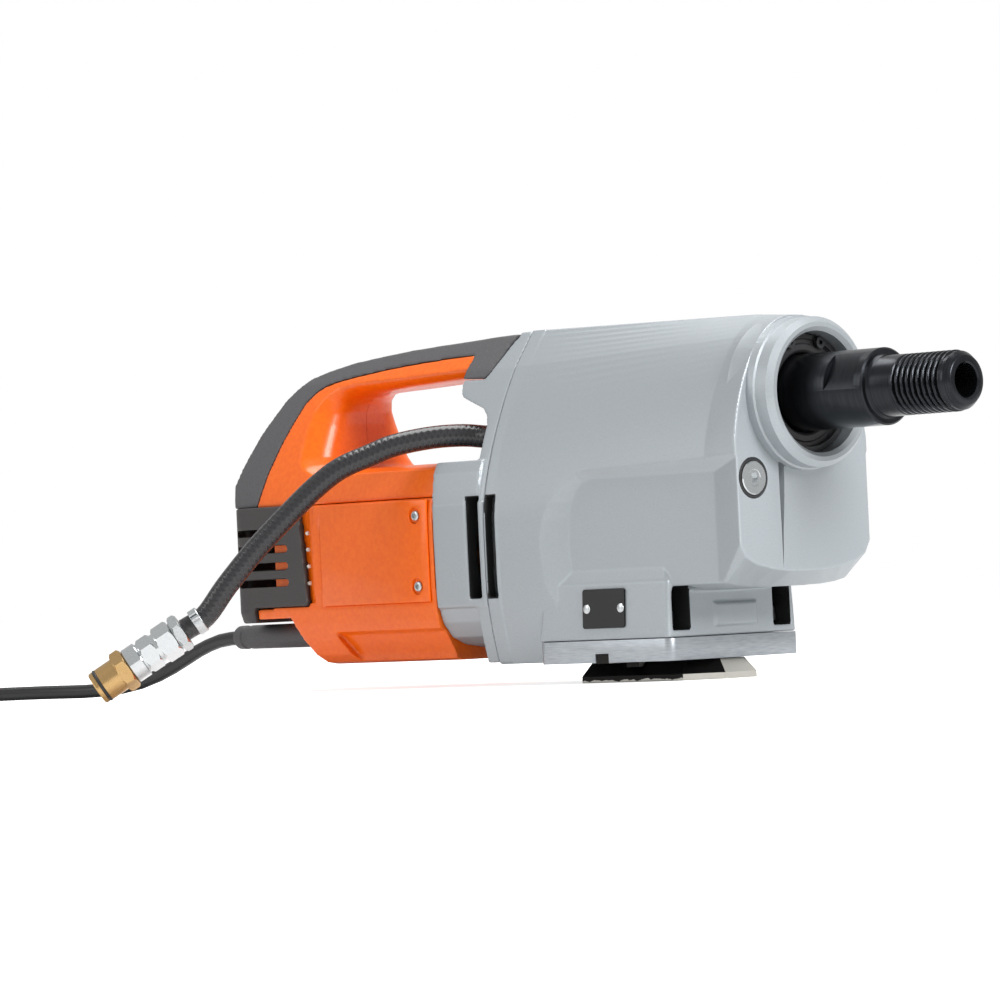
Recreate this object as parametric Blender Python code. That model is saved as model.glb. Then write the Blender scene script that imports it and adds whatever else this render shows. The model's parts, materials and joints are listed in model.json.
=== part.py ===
"""Core drill motor: a three-speed gearbox and motor on a quick-mount plate.

Millimetres are used for every size here and turned to metres when a mesh is made.
Frame: +X along the spindle towards its tip, +Z up, the origin at the centre of the
quick-mount plate's underside.
"""

import math

import bmesh
import bpy
from mathutils import Matrix, Vector

MM = 0.001
GAP = 0.3  # clearance between solids that touch

# Axes
SPINDLE_Z = 148.5
MOTOR_Z = 72.0
LAYSHAFT_Y = -14.0

# Body section, shared by the gearbox, the flange, the handle and the guard
BODY_TOP = 194.0
BODY_HALF = 50.6
CASE_WALL = 5.5
CHAMBER_LOW = 26.0
CHAMBER_HIGH = 156.0
CREST_HALF = 6.0
BEYOND = BODY_HALF + 10.0  # past the body's sides, where cutters end

# Stations along X
CASE_REAR = -86.0
CASE_FRONT = 105.5
PLATE_REAR = -95.0
HOUSING_FRONT = -126.5
HOUSING_REAR = -262.0
GUARD_FRONT = -231.0
BODY_REAR = -298.0
RING_FRONT = 121.7

# Mounting plates
MOUNT_LENGTH = 108.0
MOUNT_WIDTH = 56.0
MOUNT_CORNER = 16.0
MOUNT_RIM = 3.5
MOUNT_FLARE = 6.0
MOUNT_HEIGHT = 11.0
KEY_WIDTH = 10.0
KEY_DEPTH = 5.0
BASE_WIDTH = 100.0
BASE_REAR = -48.0
BASE_FRONT = 51.0
BASE_CORNER = 5.0
BASE_THICK = 12.0
BASE_TOP = MOUNT_HEIGHT + BASE_THICK

# Foot of the gearbox
FOOT_HALF = 48.5
FOOT_FRONT = 49.5
FOOT_TOP = 56.0
POCKET_INNER = 33.5
POCKET_OUTER = 46.0
POCKET_FLOOR = 29.0
POCKET_TOP = 50.0
BOLT_RADIUS = 4.0
BOLT_Y = 39.5
HEAD_RADIUS = 6.0
HEAD_HEIGHT = 8.0
KEY_SOCKET = 3.4
REAR_BOLT_TOP = 37.0
BOLT_FRONT_X = 35.5
BOLT_REAR_X = -38.0

# Nose
RING_RADIUS = 40.6
RING_BORE = 32.0
BEARING_SEAT = 32.0
BEARING_X = (52.0, 68.0)
NOSE_HALF = 51.0
NOSE_BOTTOM = 55.0
NOSE_SHARE = 0.62
CHIN_X = 90.0
CHIN_BOTTOM = 48.0

# Cooling slots through the case and the flange
VENT_LOW = 48.0
VENT_HIGH = 104.0
CASE_VENT_X = (-84.5, -77.5)
FLANGE_VENT_X = (-98.5, -91.5)

# Oil plug
OIL_PLUG_AT = (-38.5, 104.7)
OIL_PLUG_RADIUS = 7.6
OIL_SEAL_RADIUS = 9.3
OIL_SEAT_X = 101.0

# Spindle
SPINDLE_TIP = 222.6
COLLAR_FRONT = 168.0
COLLAR_RADIUS = 20.25
FLAT_HALF = 18.0
FLAT_REAR = 141.5
FLAT_FRONT = 162.5
FLAT_TURN = math.radians(-30.0)
NECK_RADIUS = 15.9
THREAD_START = 184.0
THREAD_END = 217.0
THREAD_RADIUS = 15.875
THREAD_DEPTH = 2.2
THREAD_PITCH = 25.4 / 7
TIP_RADIUS = 12.6
BORE_RADIUS = 8.85
SPINDLE_INNER = 15.0
SPINDLE_REAR = -20.0
SPINDLE_SHOULDER = 70.0
REAR_BEARING_RADIUS = 26.0
SEAL_X = (103.0, 110.0)
CLIP_X = (110.3, 112.0)
CLIP_INNER = 28.3

# Gear train: teeth and modules
MOTOR_TEETH, FIRST_TEETH, FIRST_MODULE = 9, 36, 1.25
SECOND_PINION, SECOND_TEETH, SECOND_MODULE = 12, 36, 1.5
SPEED_TEETH = {"low": (12, 35), "mid": (15, 32), "high": (19, 28)}
SPEED_MODULE = 1.75
TOOTH_TIP = 0.75  # addendum and dedendum, in modules
TOOTH_ROOT = 0.95
TOOTH_SLOPE = math.tan(math.radians(20.0))
SPEED_X = {"low": (34.0, 45.0), "mid": (21.0, 32.0), "high": (8.0, 19.0)}
GEAR_ONE_X = (-66.0, -57.0)
GEAR_TWO_X = (-55.0, -47.0)
HUB_RADIUS = 21.0
LAYSHAFT_RADIUS = 6.0
LAYSHAFT_FRONT = 57.0
LAYSHAFT_REAR = -74.0
MIDDLE_RADIUS = 3.5
MIDDLE_FRONT = -38.5
SHIFT_PITCH_RADIUS = 12.0
SHIFT_TEETH = 24
RACK_TIP = 0.66
RACK_ROOT = 0.95
SHIFT_MODULE = 1.0
SHIFT_X = 70.0
BAR_HALF = 2.5
BAR_TRAVEL = 13.0
BAR_FRONT = 88.0
BAR_REAR = 7.0
SELECTOR_RADIUS = 4.0
SELECTOR_REACH = 9.0  # past the body's side
KNOB_RADIUS = 15.0
KNOB_Y = (52.0, 58.0)

# Motor
STATOR_RADIUS = 42.0
AIR_RADIUS = 28.0
CORE_RADIUS = 27.3
STACK_X = (-191.0, -139.0)
SHAFT_RADIUS = 8.0
PLATE_X = (-74.0, -68.0)
FRONT_BEARING_RADIUS = 11.0
REAR_BEARING_X = (-232.0, -223.0)
TAIL_BEARING_RADIUS = 14.0
BRUSH_X = (-213.0, -203.0)
BRUSH_HALF = 4.0
FAN_RADIUS = 38.5
FAN_BLADES = 9

# Motor housing, its covers and the guard
HANDLE_BOTTOM = 105.3
COVER_X = (-218.5, -131.0)
COVER_Z = (48.0, 104.0)
COVER_PROUD = 1.2
COVER_SCREW_X = -140.5
COVER_SCREW_Z = (56.5, 95.5)
SCREW_RADIUS = 2.1
SCREW_TIP_Y = 44.0
GUARD_CORNER = 16.0
GUARD_PROUD = 0.6
GUARD_WALL = 3.6
GUARD_BOTTOM = 40.0
SHELF_TOP = 47.5
GRILLE_LOW = 61.5
GRILLE_PITCH = 9.6
GRILLE_HEIGHT = 4.0
GRILLE_SLOTS = 4

# Nameplate
PLATE_CORNERS = (-13.0, 29.5, 18.0, 50.5)
RIVET_X = {"rear": -10.5, "front": 15.5}
RIVET_Z = 40.0

# Switch
SWITCH_PIVOT = (-170.0, 45.0, 36.0)

# Cords
CORD_DIAMETER = 8.0
HOSE_DIAMETER = 12.5
INLET_RADIUS = 4.7
INLET_HEAD = 8.0
PIPE_DIAMETER = 6.0
SLEEVE_Y = -25.0
SLEEVE_Z = 32.0
SLEEVE_REAR = -319.0
SLEEVE_RADIUS = 6.8
COIL_CENTRE = (-675.0, -50.0)
COIL_RADIUS = 46.0
COIL_LAYERS = 4
TAIL_LENGTH = 38.0
PLUG_RADIUS = 18.5
HOSE_EXIT = (-103.0, -22.0, 137.0)
HOSE_END = (-232.0, -142.5, 38.4)
COUPLING_AXIS = (-0.590, -0.618, -0.520)


def clear_scene():
    for thing in list(bpy.data.objects):
        bpy.data.objects.remove(thing)


# ---------------------------------------------------------------- materials

FINISHES = {
    "cast_paint": ((0.42, 0.45, 0.47), 0.45, 0.0),
    "machined": ((0.55, 0.57, 0.59), 0.35, 0.6),
    "orange": ((0.80, 0.17, 0.03), 0.30, 0.0),
    "dark_grip": ((0.11, 0.11, 0.115), 0.75, 0.0),
    "black_plastic": ((0.025, 0.025, 0.025), 0.55, 0.0),
    "black_steel": ((0.03, 0.03, 0.03), 0.35, 0.8),
    "steel": ((0.60, 0.60, 0.60), 0.25, 1.0),
    "rubber": ((0.02, 0.02, 0.02), 0.6, 0.0),
    "copper": ((0.72, 0.35, 0.18), 0.35, 1.0),
    "brass": ((0.72, 0.52, 0.22), 0.3, 1.0),
    "board": ((0.02, 0.18, 0.08), 0.5, 0.0),
    "plate_black": ((0.012, 0.012, 0.012), 0.45, 0.0),
    "red_plastic": ((0.55, 0.03, 0.02), 0.4, 0.0),
}


def finish(name):
    material = bpy.data.materials.get(name)
    if material:
        return material
    colour, roughness, metallic = FINISHES[name]
    material = bpy.data.materials.new(name)
    material.use_nodes = True
    shader = material.node_tree.nodes["Principled BSDF"]
    shader.inputs["Base Color"].default_value = (*colour, 1.0)
    shader.inputs["Roughness"].default_value = roughness
    shader.inputs["Metallic"].default_value = metallic
    return material


# ---------------------------------------------------------------- modelling tools


def weld(mesh):
    """Joins vertices that coincide, splits bent faces into triangles and turns all faces outwards."""
    shape = bmesh.new()
    shape.from_mesh(mesh)
    bmesh.ops.remove_doubles(shape, verts=shape.verts, dist=1e-6)
    bmesh.ops.dissolve_degenerate(shape, edges=shape.edges, dist=1e-6)
    bmesh.ops.connect_verts_nonplanar(shape, faces=shape.faces, angle_limit=math.radians(0.01))
    bmesh.ops.recalc_face_normals(shape, faces=shape.faces)
    shape.to_mesh(mesh)
    shape.free()


def add_mesh(name, points, faces, material):
    mesh = bpy.data.meshes.new(name)
    mesh.from_pydata([tuple(c * MM for c in p) for p in points], [], faces)
    weld(mesh)
    mesh.materials.append(finish(material))
    mesh.shade_smooth()
    mesh.set_sharp_from_angle(angle=math.radians(35))
    piece = bpy.data.objects.new(name, mesh)
    bpy.context.collection.objects.link(piece)
    return piece


AXIS_MAPS = {
    "x": lambda a, u, v: (a, u, v),
    "y": lambda a, u, v: (u, a, v),
    "z": lambda a, u, v: (u, v, a),
}


def loft(name, sections, axis, material):
    """Sections are (place along the axis, closed outline) with equal point counts."""
    place = AXIS_MAPS[axis]
    count = len(sections[0][1])
    points = [place(a, u, v) for a, outline in sections for u, v in outline]
    faces = []
    for row in range(len(sections) - 1):
        for i in range(count):
            j = (i + 1) % count
            low, high = row * count, (row + 1) * count
            faces.append((low + i, low + j, high + j, high + i))
    faces.append(tuple(range(count)))
    last = (len(sections) - 1) * count
    faces.append(tuple(reversed(range(last, last + count))))
    return add_mesh(name, points, faces, material)


def prism(name, outline, axis, low, high, material="steel"):
    return loft(name, [(low, outline), (high, outline)], axis, material)


def box(name, low, high, material="steel"):
    outline = [(low[1], low[2]), (high[1], low[2]), (high[1], high[2]), (low[1], high[2])]
    return prism(name, outline, "x", low[0], high[0], material)


def circle(radius, centre=(0.0, 0.0), sides=32, turn=0.0):
    step = 2 * math.pi / sides
    return [
        (centre[0] + radius * math.cos(turn + i * step), centre[1] + radius * math.sin(turn + i * step))
        for i in range(sides)
    ]


def cylinder(name, radius, centre, low, high, axis="x", sides=32, material="steel"):
    return prism(name, circle(radius, centre, sides), axis, low, high, material)


def turned(name, profile, centre, material, sides=32, hollow=False):
    """A solid turned about an X-axis line through centre (y, z) from (x, radius) points.

    A solid profile starts and ends on the axis, at its two end faces. A hollow one
    is a closed ring that never meets the axis.
    """
    rings = []
    points = []
    for x, radius in profile:
        if radius == 0:
            rings.append([len(points)] * sides)
            points.append((x, centre[0], centre[1]))
            continue
        first = len(points)
        rings.append([first + i for i in range(sides)])
        points += [(x, y, z) for y, z in circle(radius, centre, sides)]
    faces = []
    pairs = list(zip(rings, rings[1:]))
    if hollow:
        pairs.append((rings[-1], rings[0]))
    for one, two in pairs:
        for i in range(sides):
            j = (i + 1) % sides
            corners = [one[i], one[j], two[j], two[i]]
            face = [c for k, c in enumerate(corners) if c not in corners[:k]]
            if len(face) > 2:
                faces.append(tuple(face))
    return add_mesh(name, points, faces, material)


def ring(name, inner, outer, low, high, centre, material, sides=32):
    profile = [(low, inner), (low, outer), (high, outer), (high, inner)]
    return turned(name, profile, centre, material, sides, hollow=True)


# The EXACT solver leaves open edges on these, where slightly bent faces are cut.
EXACT_FAILS = {"gearbox_housing", "motor_flange", "water_swivel", "cord_coil"}


def combine(target, others, operation):
    """Cuts, joins or intersects others with target, and removes them."""
    for other in others:
        modifier = target.modifiers.new(operation, "BOOLEAN")
        modifier.operation = operation
        modifier.solver = "MANIFOLD" if target.name in EXACT_FAILS else "EXACT"
        modifier.object = other
        graph = bpy.context.evaluated_depsgraph_get()
        mesh = bpy.data.meshes.new_from_object(target.evaluated_get(graph))
        target.modifiers.remove(modifier)
        target.data = mesh
        bpy.data.objects.remove(other)
    target.data.shade_smooth()
    target.data.set_sharp_from_angle(angle=math.radians(35))
    return target


def cut(target, *others):
    return combine(target, others, "DIFFERENCE")


def join(target, *others):
    return combine(target, others, "UNION")


def intersect(target, *others):
    return combine(target, others, "INTERSECT")


def aim(piece, start, direction):
    """Moves a piece modelled along +X from the origin to start, turned to direction."""
    turn = Vector((1, 0, 0)).rotation_difference(Vector(direction).normalized()).to_matrix().to_4x4()
    piece.data.transform(Matrix.Translation(Vector(start) * MM) @ turn)
    return piece


def tube(name, points, diameter, material, spacing, resolution=2):
    """A solid round cord through the points, on one smooth curve sampled every spacing."""
    path = smooth_path(points, spacing)
    curve = bpy.data.curves.new(name, "CURVE")
    curve.dimensions = "3D"
    curve.bevel_depth = diameter / 2 * MM
    curve.bevel_resolution = resolution
    curve.use_fill_caps = True
    spline = curve.splines.new("POLY")
    spline.points.add(len(path) - 1)
    for point, place in zip(spline.points, path):
        point.co = (*(c * MM for c in place), 1.0)
    curve.materials.append(finish(material))
    piece = bpy.data.objects.new(name, curve)
    bpy.context.collection.objects.link(piece)
    return piece


def solid_of(curve):
    """The curve's tube as a closed mesh, in place of the curve."""
    graph = bpy.context.evaluated_depsgraph_get()
    mesh = bpy.data.meshes.new_from_object(curve.evaluated_get(graph))
    weld(mesh)
    solid = bpy.data.objects.new(curve.name, mesh)
    bpy.context.collection.objects.link(solid)
    bpy.data.objects.remove(curve)
    return solid


def smooth_path(points, spacing):
    """Points about every spacing along a Catmull-Rom curve through the given points."""
    ends = [
        tuple(2 * a - b for a, b in zip(points[0], points[1])),
        tuple(2 * a - b for a, b in zip(points[-1], points[-2])),
    ]
    chain = [ends[0], *points, ends[1]]
    path = []
    for p0, p1, p2, p3 in zip(chain, chain[1:], chain[2:], chain[3:]):
        steps = max(1, round(math.dist(p1, p2) / spacing))
        for k in range(steps):
            t = k / steps
            path.append(
                tuple(
                    0.5 * (2 * b + (c - a) * t + (2 * a - 5 * b + 4 * c - d) * t**2
                           + (3 * b - a - 3 * c + d) * t**3)
                    for a, b, c, d in zip(p0, p1, p2, p3)
                )
            )
    path.append(tuple(points[-1]))
    return path


# ---------------------------------------------------------------- the body section


def bezier(points, steps):
    result = []
    for i in range(steps + 1):
        t = i / steps
        weights = ((1 - t) ** 3, 3 * t * (1 - t) ** 2, 3 * t * t * (1 - t), t**3)
        result.append(tuple(sum(w * p[k] for w, p in zip(weights, points)) for k in (0, 1)))
    return result


def side_curve(inset=0.0, steps=8):
    """The right half of the body section from its crest down, as (y, z)."""
    half = BODY_HALF - inset
    crown = bezier(
        [
            (CREST_HALF, BODY_TOP - inset),
            (CREST_HALF + 18 - inset, BODY_TOP - 18 - inset),
            (half, 118),
            (half, 88),
        ],
        steps,
    )
    return [*crown, (half, 60), (half - 0.6, 47), (half - 4.1, 27), (half - 7.6, 12)]


def half_width(z, inset=0.0):
    curve = side_curve(inset)
    for (y0, z0), (y1, z1) in zip(curve, curve[1:]):
        if z1 <= z <= z0:
            return y0 + (y1 - y0) * (z0 - z) / (z0 - z1)
    return curve[0][0] if z > curve[0][1] else curve[-1][0]


def body_outline(low, high, inset=0.0):
    """The body section between two heights, cut flat there."""
    inside = [(y, z) for y, z in side_curve(inset) if low + 0.5 < z < high - 0.5]
    right = [(half_width(high, inset), high), *inside, (half_width(low, inset), low)]
    return right + [(-y, z) for y, z in reversed(right)]


def meeting_point(first, second, first_distance, second_distance):
    """The point at two given distances from two axes, on the +Y side of their line."""
    dy, dz = second[0] - first[0], second[1] - first[1]
    span = math.hypot(dy, dz)
    along = (first_distance**2 - second_distance**2 + span**2) / (2 * span)
    across = math.sqrt(first_distance**2 - along**2)
    uy, uz = dy / span, dz / span
    return (first[0] + along * uy + across * uz, first[1] + along * uz - across * uy)


SPINDLE_AXIS = (0.0, SPINDLE_Z)
MOTOR_AXIS = (0.0, MOTOR_Z)
SPEED_CENTRES = SPEED_MODULE * sum(SPEED_TEETH["low"]) / 2
LAYSHAFT_AXIS = (LAYSHAFT_Y, SPINDLE_Z - math.sqrt(SPEED_CENTRES**2 - LAYSHAFT_Y**2))
SECOND_CENTRES = SECOND_MODULE * (SECOND_PINION + SECOND_TEETH) / 2
FIRST_CENTRES = FIRST_MODULE * (MOTOR_TEETH + FIRST_TEETH) / 2
MIDDLE_AXIS = meeting_point(MOTOR_AXIS, LAYSHAFT_AXIS, FIRST_CENTRES, SECOND_CENTRES)


# ---------------------------------------------------------------- mounting plates


def octagon(inset):
    x, y, c = MOUNT_LENGTH / 2 - inset, MOUNT_WIDTH / 2 - inset, MOUNT_CORNER - 0.59 * inset
    quarter = [(x, y - c), (x - c, y)]
    half = quarter + [(-a, b) for a, b in reversed(quarter)]
    return half + [(-a, -b) for a, b in half]


def mounting_plates():
    top = MOUNT_HEIGHT - GAP
    plate = loft(
        "quick_mount_plate",
        [(0.0, octagon(0)), (MOUNT_RIM, octagon(0)), (top, octagon(MOUNT_FLARE))],
        "z",
        "black_steel",
    )
    key_half = KEY_WIDTH / 2 - GAP
    reach = BASE_WIDTH / 2 - 0.5
    key = box("key", (-key_half, -reach, top - 0.01), (key_half, reach, MOUNT_HEIGHT + KEY_DEPTH - GAP))
    root_half = MOUNT_WIDTH / 2 - MOUNT_FLARE - 1
    root = box("root", (-key_half, -root_half, top - 3), (key_half, root_half, top + 1))
    join(plate, key, root)
    cut(plate, cylinder("hole", BOLT_RADIUS + GAP, (BOLT_REAR_X, 0), -1, MOUNT_HEIGHT + 1, "z", 12))
    cut(plate, cylinder("head", HEAD_RADIUS + 1, (BOLT_REAR_X, 0), -1, 6.0, "z", 16))

    outline = []
    for sx, sy, start in ((1, 1, 0), (-1, 1, 90), (-1, -1, 180), (1, -1, 270)):
        cx = (BASE_FRONT if sx > 0 else BASE_REAR) - sx * BASE_CORNER
        cy = sy * (BASE_WIDTH / 2 - BASE_CORNER)
        for k in range(4):
            angle = math.radians(start + 30 * k)
            outline.append((cx + BASE_CORNER * math.cos(angle), cy + BASE_CORNER * math.sin(angle)))
    base = prism("base_plate", outline, "z", MOUNT_HEIGHT, BASE_TOP, "machined")
    slot_half = KEY_WIDTH / 2
    slot_top = MOUNT_HEIGHT + KEY_DEPTH
    cut(base, box("slot", (-slot_half, -BASE_WIDTH, MOUNT_HEIGHT - 1), (slot_half, BASE_WIDTH, slot_top)))
    for side in (-1, 1):
        hole = (BOLT_FRONT_X, side * BOLT_Y)
        cut(base, cylinder("hole", BOLT_RADIUS + GAP, hole, MOUNT_HEIGHT - 1, BASE_TOP + 1, "z", 12))
    cut(base, cylinder("hole", BOLT_RADIUS + GAP, (BOLT_REAR_X, 0), MOUNT_HEIGHT - 1, BASE_TOP + 1, "z", 12))


def foot_bolts():
    """Two bolts down through the front pockets, and one up through both plates."""
    for side, label in ((-1, "left"), (1, "right")):
        head = POCKET_FLOOR + GAP
        top = head + HEAD_HEIGHT
        centre = (BOLT_FRONT_X, side * BOLT_Y)
        bolt = cylinder(f"foot_bolt_front_{label}", HEAD_RADIUS, centre, head, top, "z", 16)
        join(bolt, cylinder("shank", BOLT_RADIUS, centre, MOUNT_HEIGHT + 0.5, head + 1, "z", 12))
        cut(bolt, cylinder("socket", KEY_SOCKET, centre, top - HEAD_HEIGHT / 2, top + 1, "z", 6))
    centre = (BOLT_REAR_X, 0)
    bolt = cylinder("foot_bolt_rear", HEAD_RADIUS, centre, 0.5, 5.7, "z", 16)
    join(bolt, cylinder("shank", BOLT_RADIUS, centre, 5, REAR_BOLT_TOP, "z", 12))
    cut(bolt, cylinder("socket", KEY_SOCKET, centre, -1, 3.5, "z", 6))


# ---------------------------------------------------------------- gearbox housing


def case_section(share, low):
    """The gearbox section, with that share of the round nose in it and its underside at height low."""
    tail = side_curve()[:9] + [(BODY_HALF, 70), (BODY_HALF - 0.6, 52)]
    nose = bezier([(6.0, 189.8), (31.0, 186.0), (46.0, 155.0), (NOSE_HALF, 124.0)], 8)
    nose += [(NOSE_HALF, 95), (NOSE_HALF - 0.5, 67)]
    right = [tuple(a + (b - a) * share for a, b in zip(p, q)) for p, q in zip(tail, nose)]
    right += [(41, low + 5.5), (20, low + 1)]
    return right + [(-y, z) for y, z in reversed(right)]


def side_recess(side):
    """The sunken lower panel of one side, with sloped edges, as a cutter."""
    outer = [(-44, 48), (-44, 88), (-37, 103), (-24, 114), (-11, 117.5), (92, 117.5), (92, 48)]
    inner = [(-26, 48), (-26, 80), (-24, 94), (-17, 105), (-8, 109.5), (85, 109.5), (85, 48)]
    deep, proud = side * 45.5, side * (BODY_HALF + 0.9)
    far = side * (BODY_HALF + 12)
    return loft("recess", [(deep, inner), (proud, outer), (far, outer)], "y", "cast_paint")


def gearbox_housing():
    sections = [
        (CASE_REAR, case_section(0.0, 51.0)),
        (CHIN_X - 8, case_section(NOSE_SHARE, CHIN_BOTTOM)),
        (CHIN_X, case_section(NOSE_SHARE + 0.1, CHIN_BOTTOM)),
        (CASE_FRONT, case_section(1.0, NOSE_BOTTOM)),
    ]
    case = loft("gearbox_housing", sections, "x", "cast_paint")
    for side in (-1, 1):
        cut(case, side_recess(side))
    bottom, top_half = BASE_TOP + GAP, FOOT_HALF - 2
    outline = [(-FOOT_HALF, bottom), (FOOT_HALF, bottom), (top_half, FOOT_TOP), (-top_half, FOOT_TOP)]
    foot = prism("foot", outline, "x", BASE_REAR - 2, FOOT_FRONT)
    tail = prism("tail", body_outline(12.0, 60.0, 0.4), "x", CASE_REAR, BASE_REAR - GAP, "cast_paint")
    join(case, foot, tail)
    join(case, cylinder("ring", RING_RADIUS, SPINDLE_AXIS, CHIN_X, RING_FRONT, "x", 48))
    rear_chamber = body_outline(CHAMBER_LOW, CHAMBER_HIGH, CASE_WALL)
    gear_chamber = body_outline(62, CHAMBER_HIGH, CASE_WALL)
    shift_end = BAR_FRONT + BAR_TRAVEL + 1
    chambers = [
        prism("rear", rear_chamber, "x", CASE_REAR - 1, PLATE_X[1]),
        prism("gears", gear_chamber, "x", PLATE_X[1] - 1, -44),
        cylinder("wheel", 29.2, LAYSHAFT_AXIS, -56, -44, "x", 48),
        box("lay", (-45, LAYSHAFT_Y - 23, 86), (49, LAYSHAFT_Y + 22, 133)),
        cylinder("high", 28.0, SPINDLE_AXIS, 3, 20.2, "x", 32),
        cylinder("mid", 31.5, SPINDLE_AXIS, 19, 33.3, "x", 32),
        cylinder("low", 34.0, SPINDLE_AXIS, 32, 49, "x", 32),
        cylinder("bearing_seat", BEARING_SEAT, SPINDLE_AXIS, 48, BEARING_X[1] + 1, "x", 48),
        cylinder("bore", RING_BORE, SPINDLE_AXIS, BEARING_X[1], RING_FRONT + 1, "x", 48),
        cylinder("seat", REAR_BEARING_RADIUS + GAP, SPINDLE_AXIS, -12 - GAP, 4, "x", 32),
        cylinder("swivel", 16.0, SPINDLE_AXIS, -50, -11, "x", 32),
        cylinder("middle_seat", MIDDLE_RADIUS + GAP, MIDDLE_AXIS, -45, MIDDLE_FRONT + 0.8, "x", 16),
        cylinder("lay_seat", LAYSHAFT_RADIUS + GAP, LAYSHAFT_AXIS, 48, LAYSHAFT_FRONT + 1, "x", 24),
        box("shift", (57, LAYSHAFT_Y - 9, 81), (shift_end, LAYSHAFT_Y + 9, 113.5)),
        cylinder("selector", SELECTOR_RADIUS + GAP, (SHIFT_X, shift_centre()), -6, BEYOND, "y", 16),
        box("vent", (CASE_VENT_X[0], -BEYOND, VENT_LOW), (CASE_VENT_X[1], BEYOND, VENT_HIGH)),
    ]
    cut(case, *chambers)
    for side in (-1, 1):
        inner, outer = sorted((side * POCKET_INNER, side * POCKET_OUTER))
        cut(case, box("pocket", (25, inner, POCKET_FLOOR), (60, outer, POCKET_TOP)))
        front = (BOLT_FRONT_X, side * BOLT_Y)
        cut(case, cylinder("hole", BOLT_RADIUS + GAP, front, BASE_TOP - 1, POCKET_FLOOR + 1, "z", 12))
    rear = (BOLT_REAR_X, 0)
    cut(case, cylinder("hole", BOLT_RADIUS + GAP, rear, BASE_TOP - 1, REAR_BOLT_TOP + 0.5, "z", 12))
    cut(case, cylinder("plug_seat", OIL_SEAL_RADIUS + GAP, OIL_PLUG_AT, OIL_SEAT_X, CASE_FRONT + 5, "x", 24))


def oil_plug():
    foot = OIL_SEAT_X + GAP
    plug = cylinder("oil_plug", OIL_PLUG_RADIUS, OIL_PLUG_AT, foot, foot + 6, "x", 24)
    cut(plug, cylinder("socket", 3.0, OIL_PLUG_AT, foot + 2.2, foot + 7, "x", 6))
    ring("oil_plug_seal", OIL_PLUG_RADIUS + GAP, OIL_SEAL_RADIUS, foot, foot + 4.9, OIL_PLUG_AT, "rubber", 24)


# ---------------------------------------------------------------- motor flange and bearing plate


def motor_flange():
    flange = prism("motor_flange", body_outline(13, 193.4), "x", PLATE_REAR, CASE_REAR - GAP, "cast_paint")
    section = body_outline(46, 124)
    middle = len(section) // 2
    belly = [(BODY_HALF - 4.6, 35.8), (BODY_HALF - 11.6, 27.5), (17, 21.2)]
    section = section[:middle] + belly + [(-y, z) for y, z in reversed(belly)] + section[middle:]
    adapter = prism("adapter", section, "x", HOUSING_FRONT, PLATE_REAR + 1, "cast_paint")
    side_view = [
        (-94, 143), (-99.5, 152), (-121, 160), (-125.5, 168.8), (-107.7, 168.5), (-96.5, 188.5), (-94, 193),
    ]
    lug = prism("lug", side_view, "y", -BEYOND, BEYOND, "cast_paint")
    intersect(lug, prism("envelope", body_outline(130, 193.4), "x", -140, -80))
    join(flange, adapter, lug)
    cut(flange, cylinder("duct", STATOR_RADIUS + 1.3, MOTOR_AXIS, HOUSING_FRONT - 1, CASE_REAR + 1, "x", 32))
    cut(flange, box("vent", (FLANGE_VENT_X[0], -BEYOND, VENT_LOW), (FLANGE_VENT_X[1], BEYOND, VENT_HIGH)))
    cut(flange, cylinder("inlet", INLET_RADIUS + GAP, HOSE_EXIT[1:], PLATE_REAR - 1, CASE_REAR + 1, "x", 16))


def bearing_plate():
    low, high = PLATE_X
    outline = body_outline(CHAMBER_LOW + GAP, CHAMBER_HIGH - GAP, CASE_WALL + GAP)
    plate = prism("bearing_plate", outline, "x", low, high - GAP, "machined")
    seats = {MOTOR_AXIS: FRONT_BEARING_RADIUS, MIDDLE_AXIS: MIDDLE_RADIUS, LAYSHAFT_AXIS: LAYSHAFT_RADIUS}
    for axis, radius in seats.items():
        cut(plate, cylinder("seat", radius + GAP, axis, low - 1, high + 1, "x", 24))
    cut(plate, cylinder("pipe_hole", 6.5, (-17.5, 141.5), low - 1, high + 1, "x", 16))


def bearings():
    table = (
        ("spindle_front_bearing", SPINDLE_INNER + GAP, BEARING_SEAT - GAP, *BEARING_X, SPINDLE_AXIS),
        ("spindle_rear_bearing", SPINDLE_INNER + GAP, REAR_BEARING_RADIUS, -12, 2, SPINDLE_AXIS),
        ("armature_front_bearing", 6.0 + GAP, FRONT_BEARING_RADIUS, PLATE_X[0], PLATE_X[1] - GAP, MOTOR_AXIS),
        ("armature_rear_bearing", 5.0 + GAP, TAIL_BEARING_RADIUS, *REAR_BEARING_X, MOTOR_AXIS),
    )
    for name, inner, outer, low, high, axis in table:
        ring(name, inner, outer, low, high, axis, "steel", 24)


# ---------------------------------------------------------------- gears


def gear_outline(teeth, module, centre, tooth_at):
    """Straight-sided teeth, thinned for running clearance, one centred at the angle tooth_at."""
    pitch = teeth * module / 2
    tip, root = pitch + TOOTH_TIP * module, pitch - TOOTH_ROOT * module
    half_tip = (math.pi / 4 - TOOTH_TIP * TOOTH_SLOPE - 0.14) * module / tip
    half_root = (math.pi / 4 + TOOTH_ROOT * TOOTH_SLOPE - 0.20) * module / root
    outline = []
    for i in range(teeth):
        middle = tooth_at + 2 * math.pi * i / teeth
        for radius, offset in ((root, -half_root), (tip, -half_tip), (tip, half_tip), (root, half_root)):
            angle = middle + offset
            outline.append((centre[0] + radius * math.cos(angle), centre[1] + radius * math.sin(angle)))
    return outline


def meshed(first, second, second_teeth):
    """The angles of a tooth on the first axis and of one on the second, so that they mesh."""
    towards = math.atan2(second[1] - first[1], second[0] - first[0])
    return towards, towards + math.pi + math.pi / second_teeth


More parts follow.
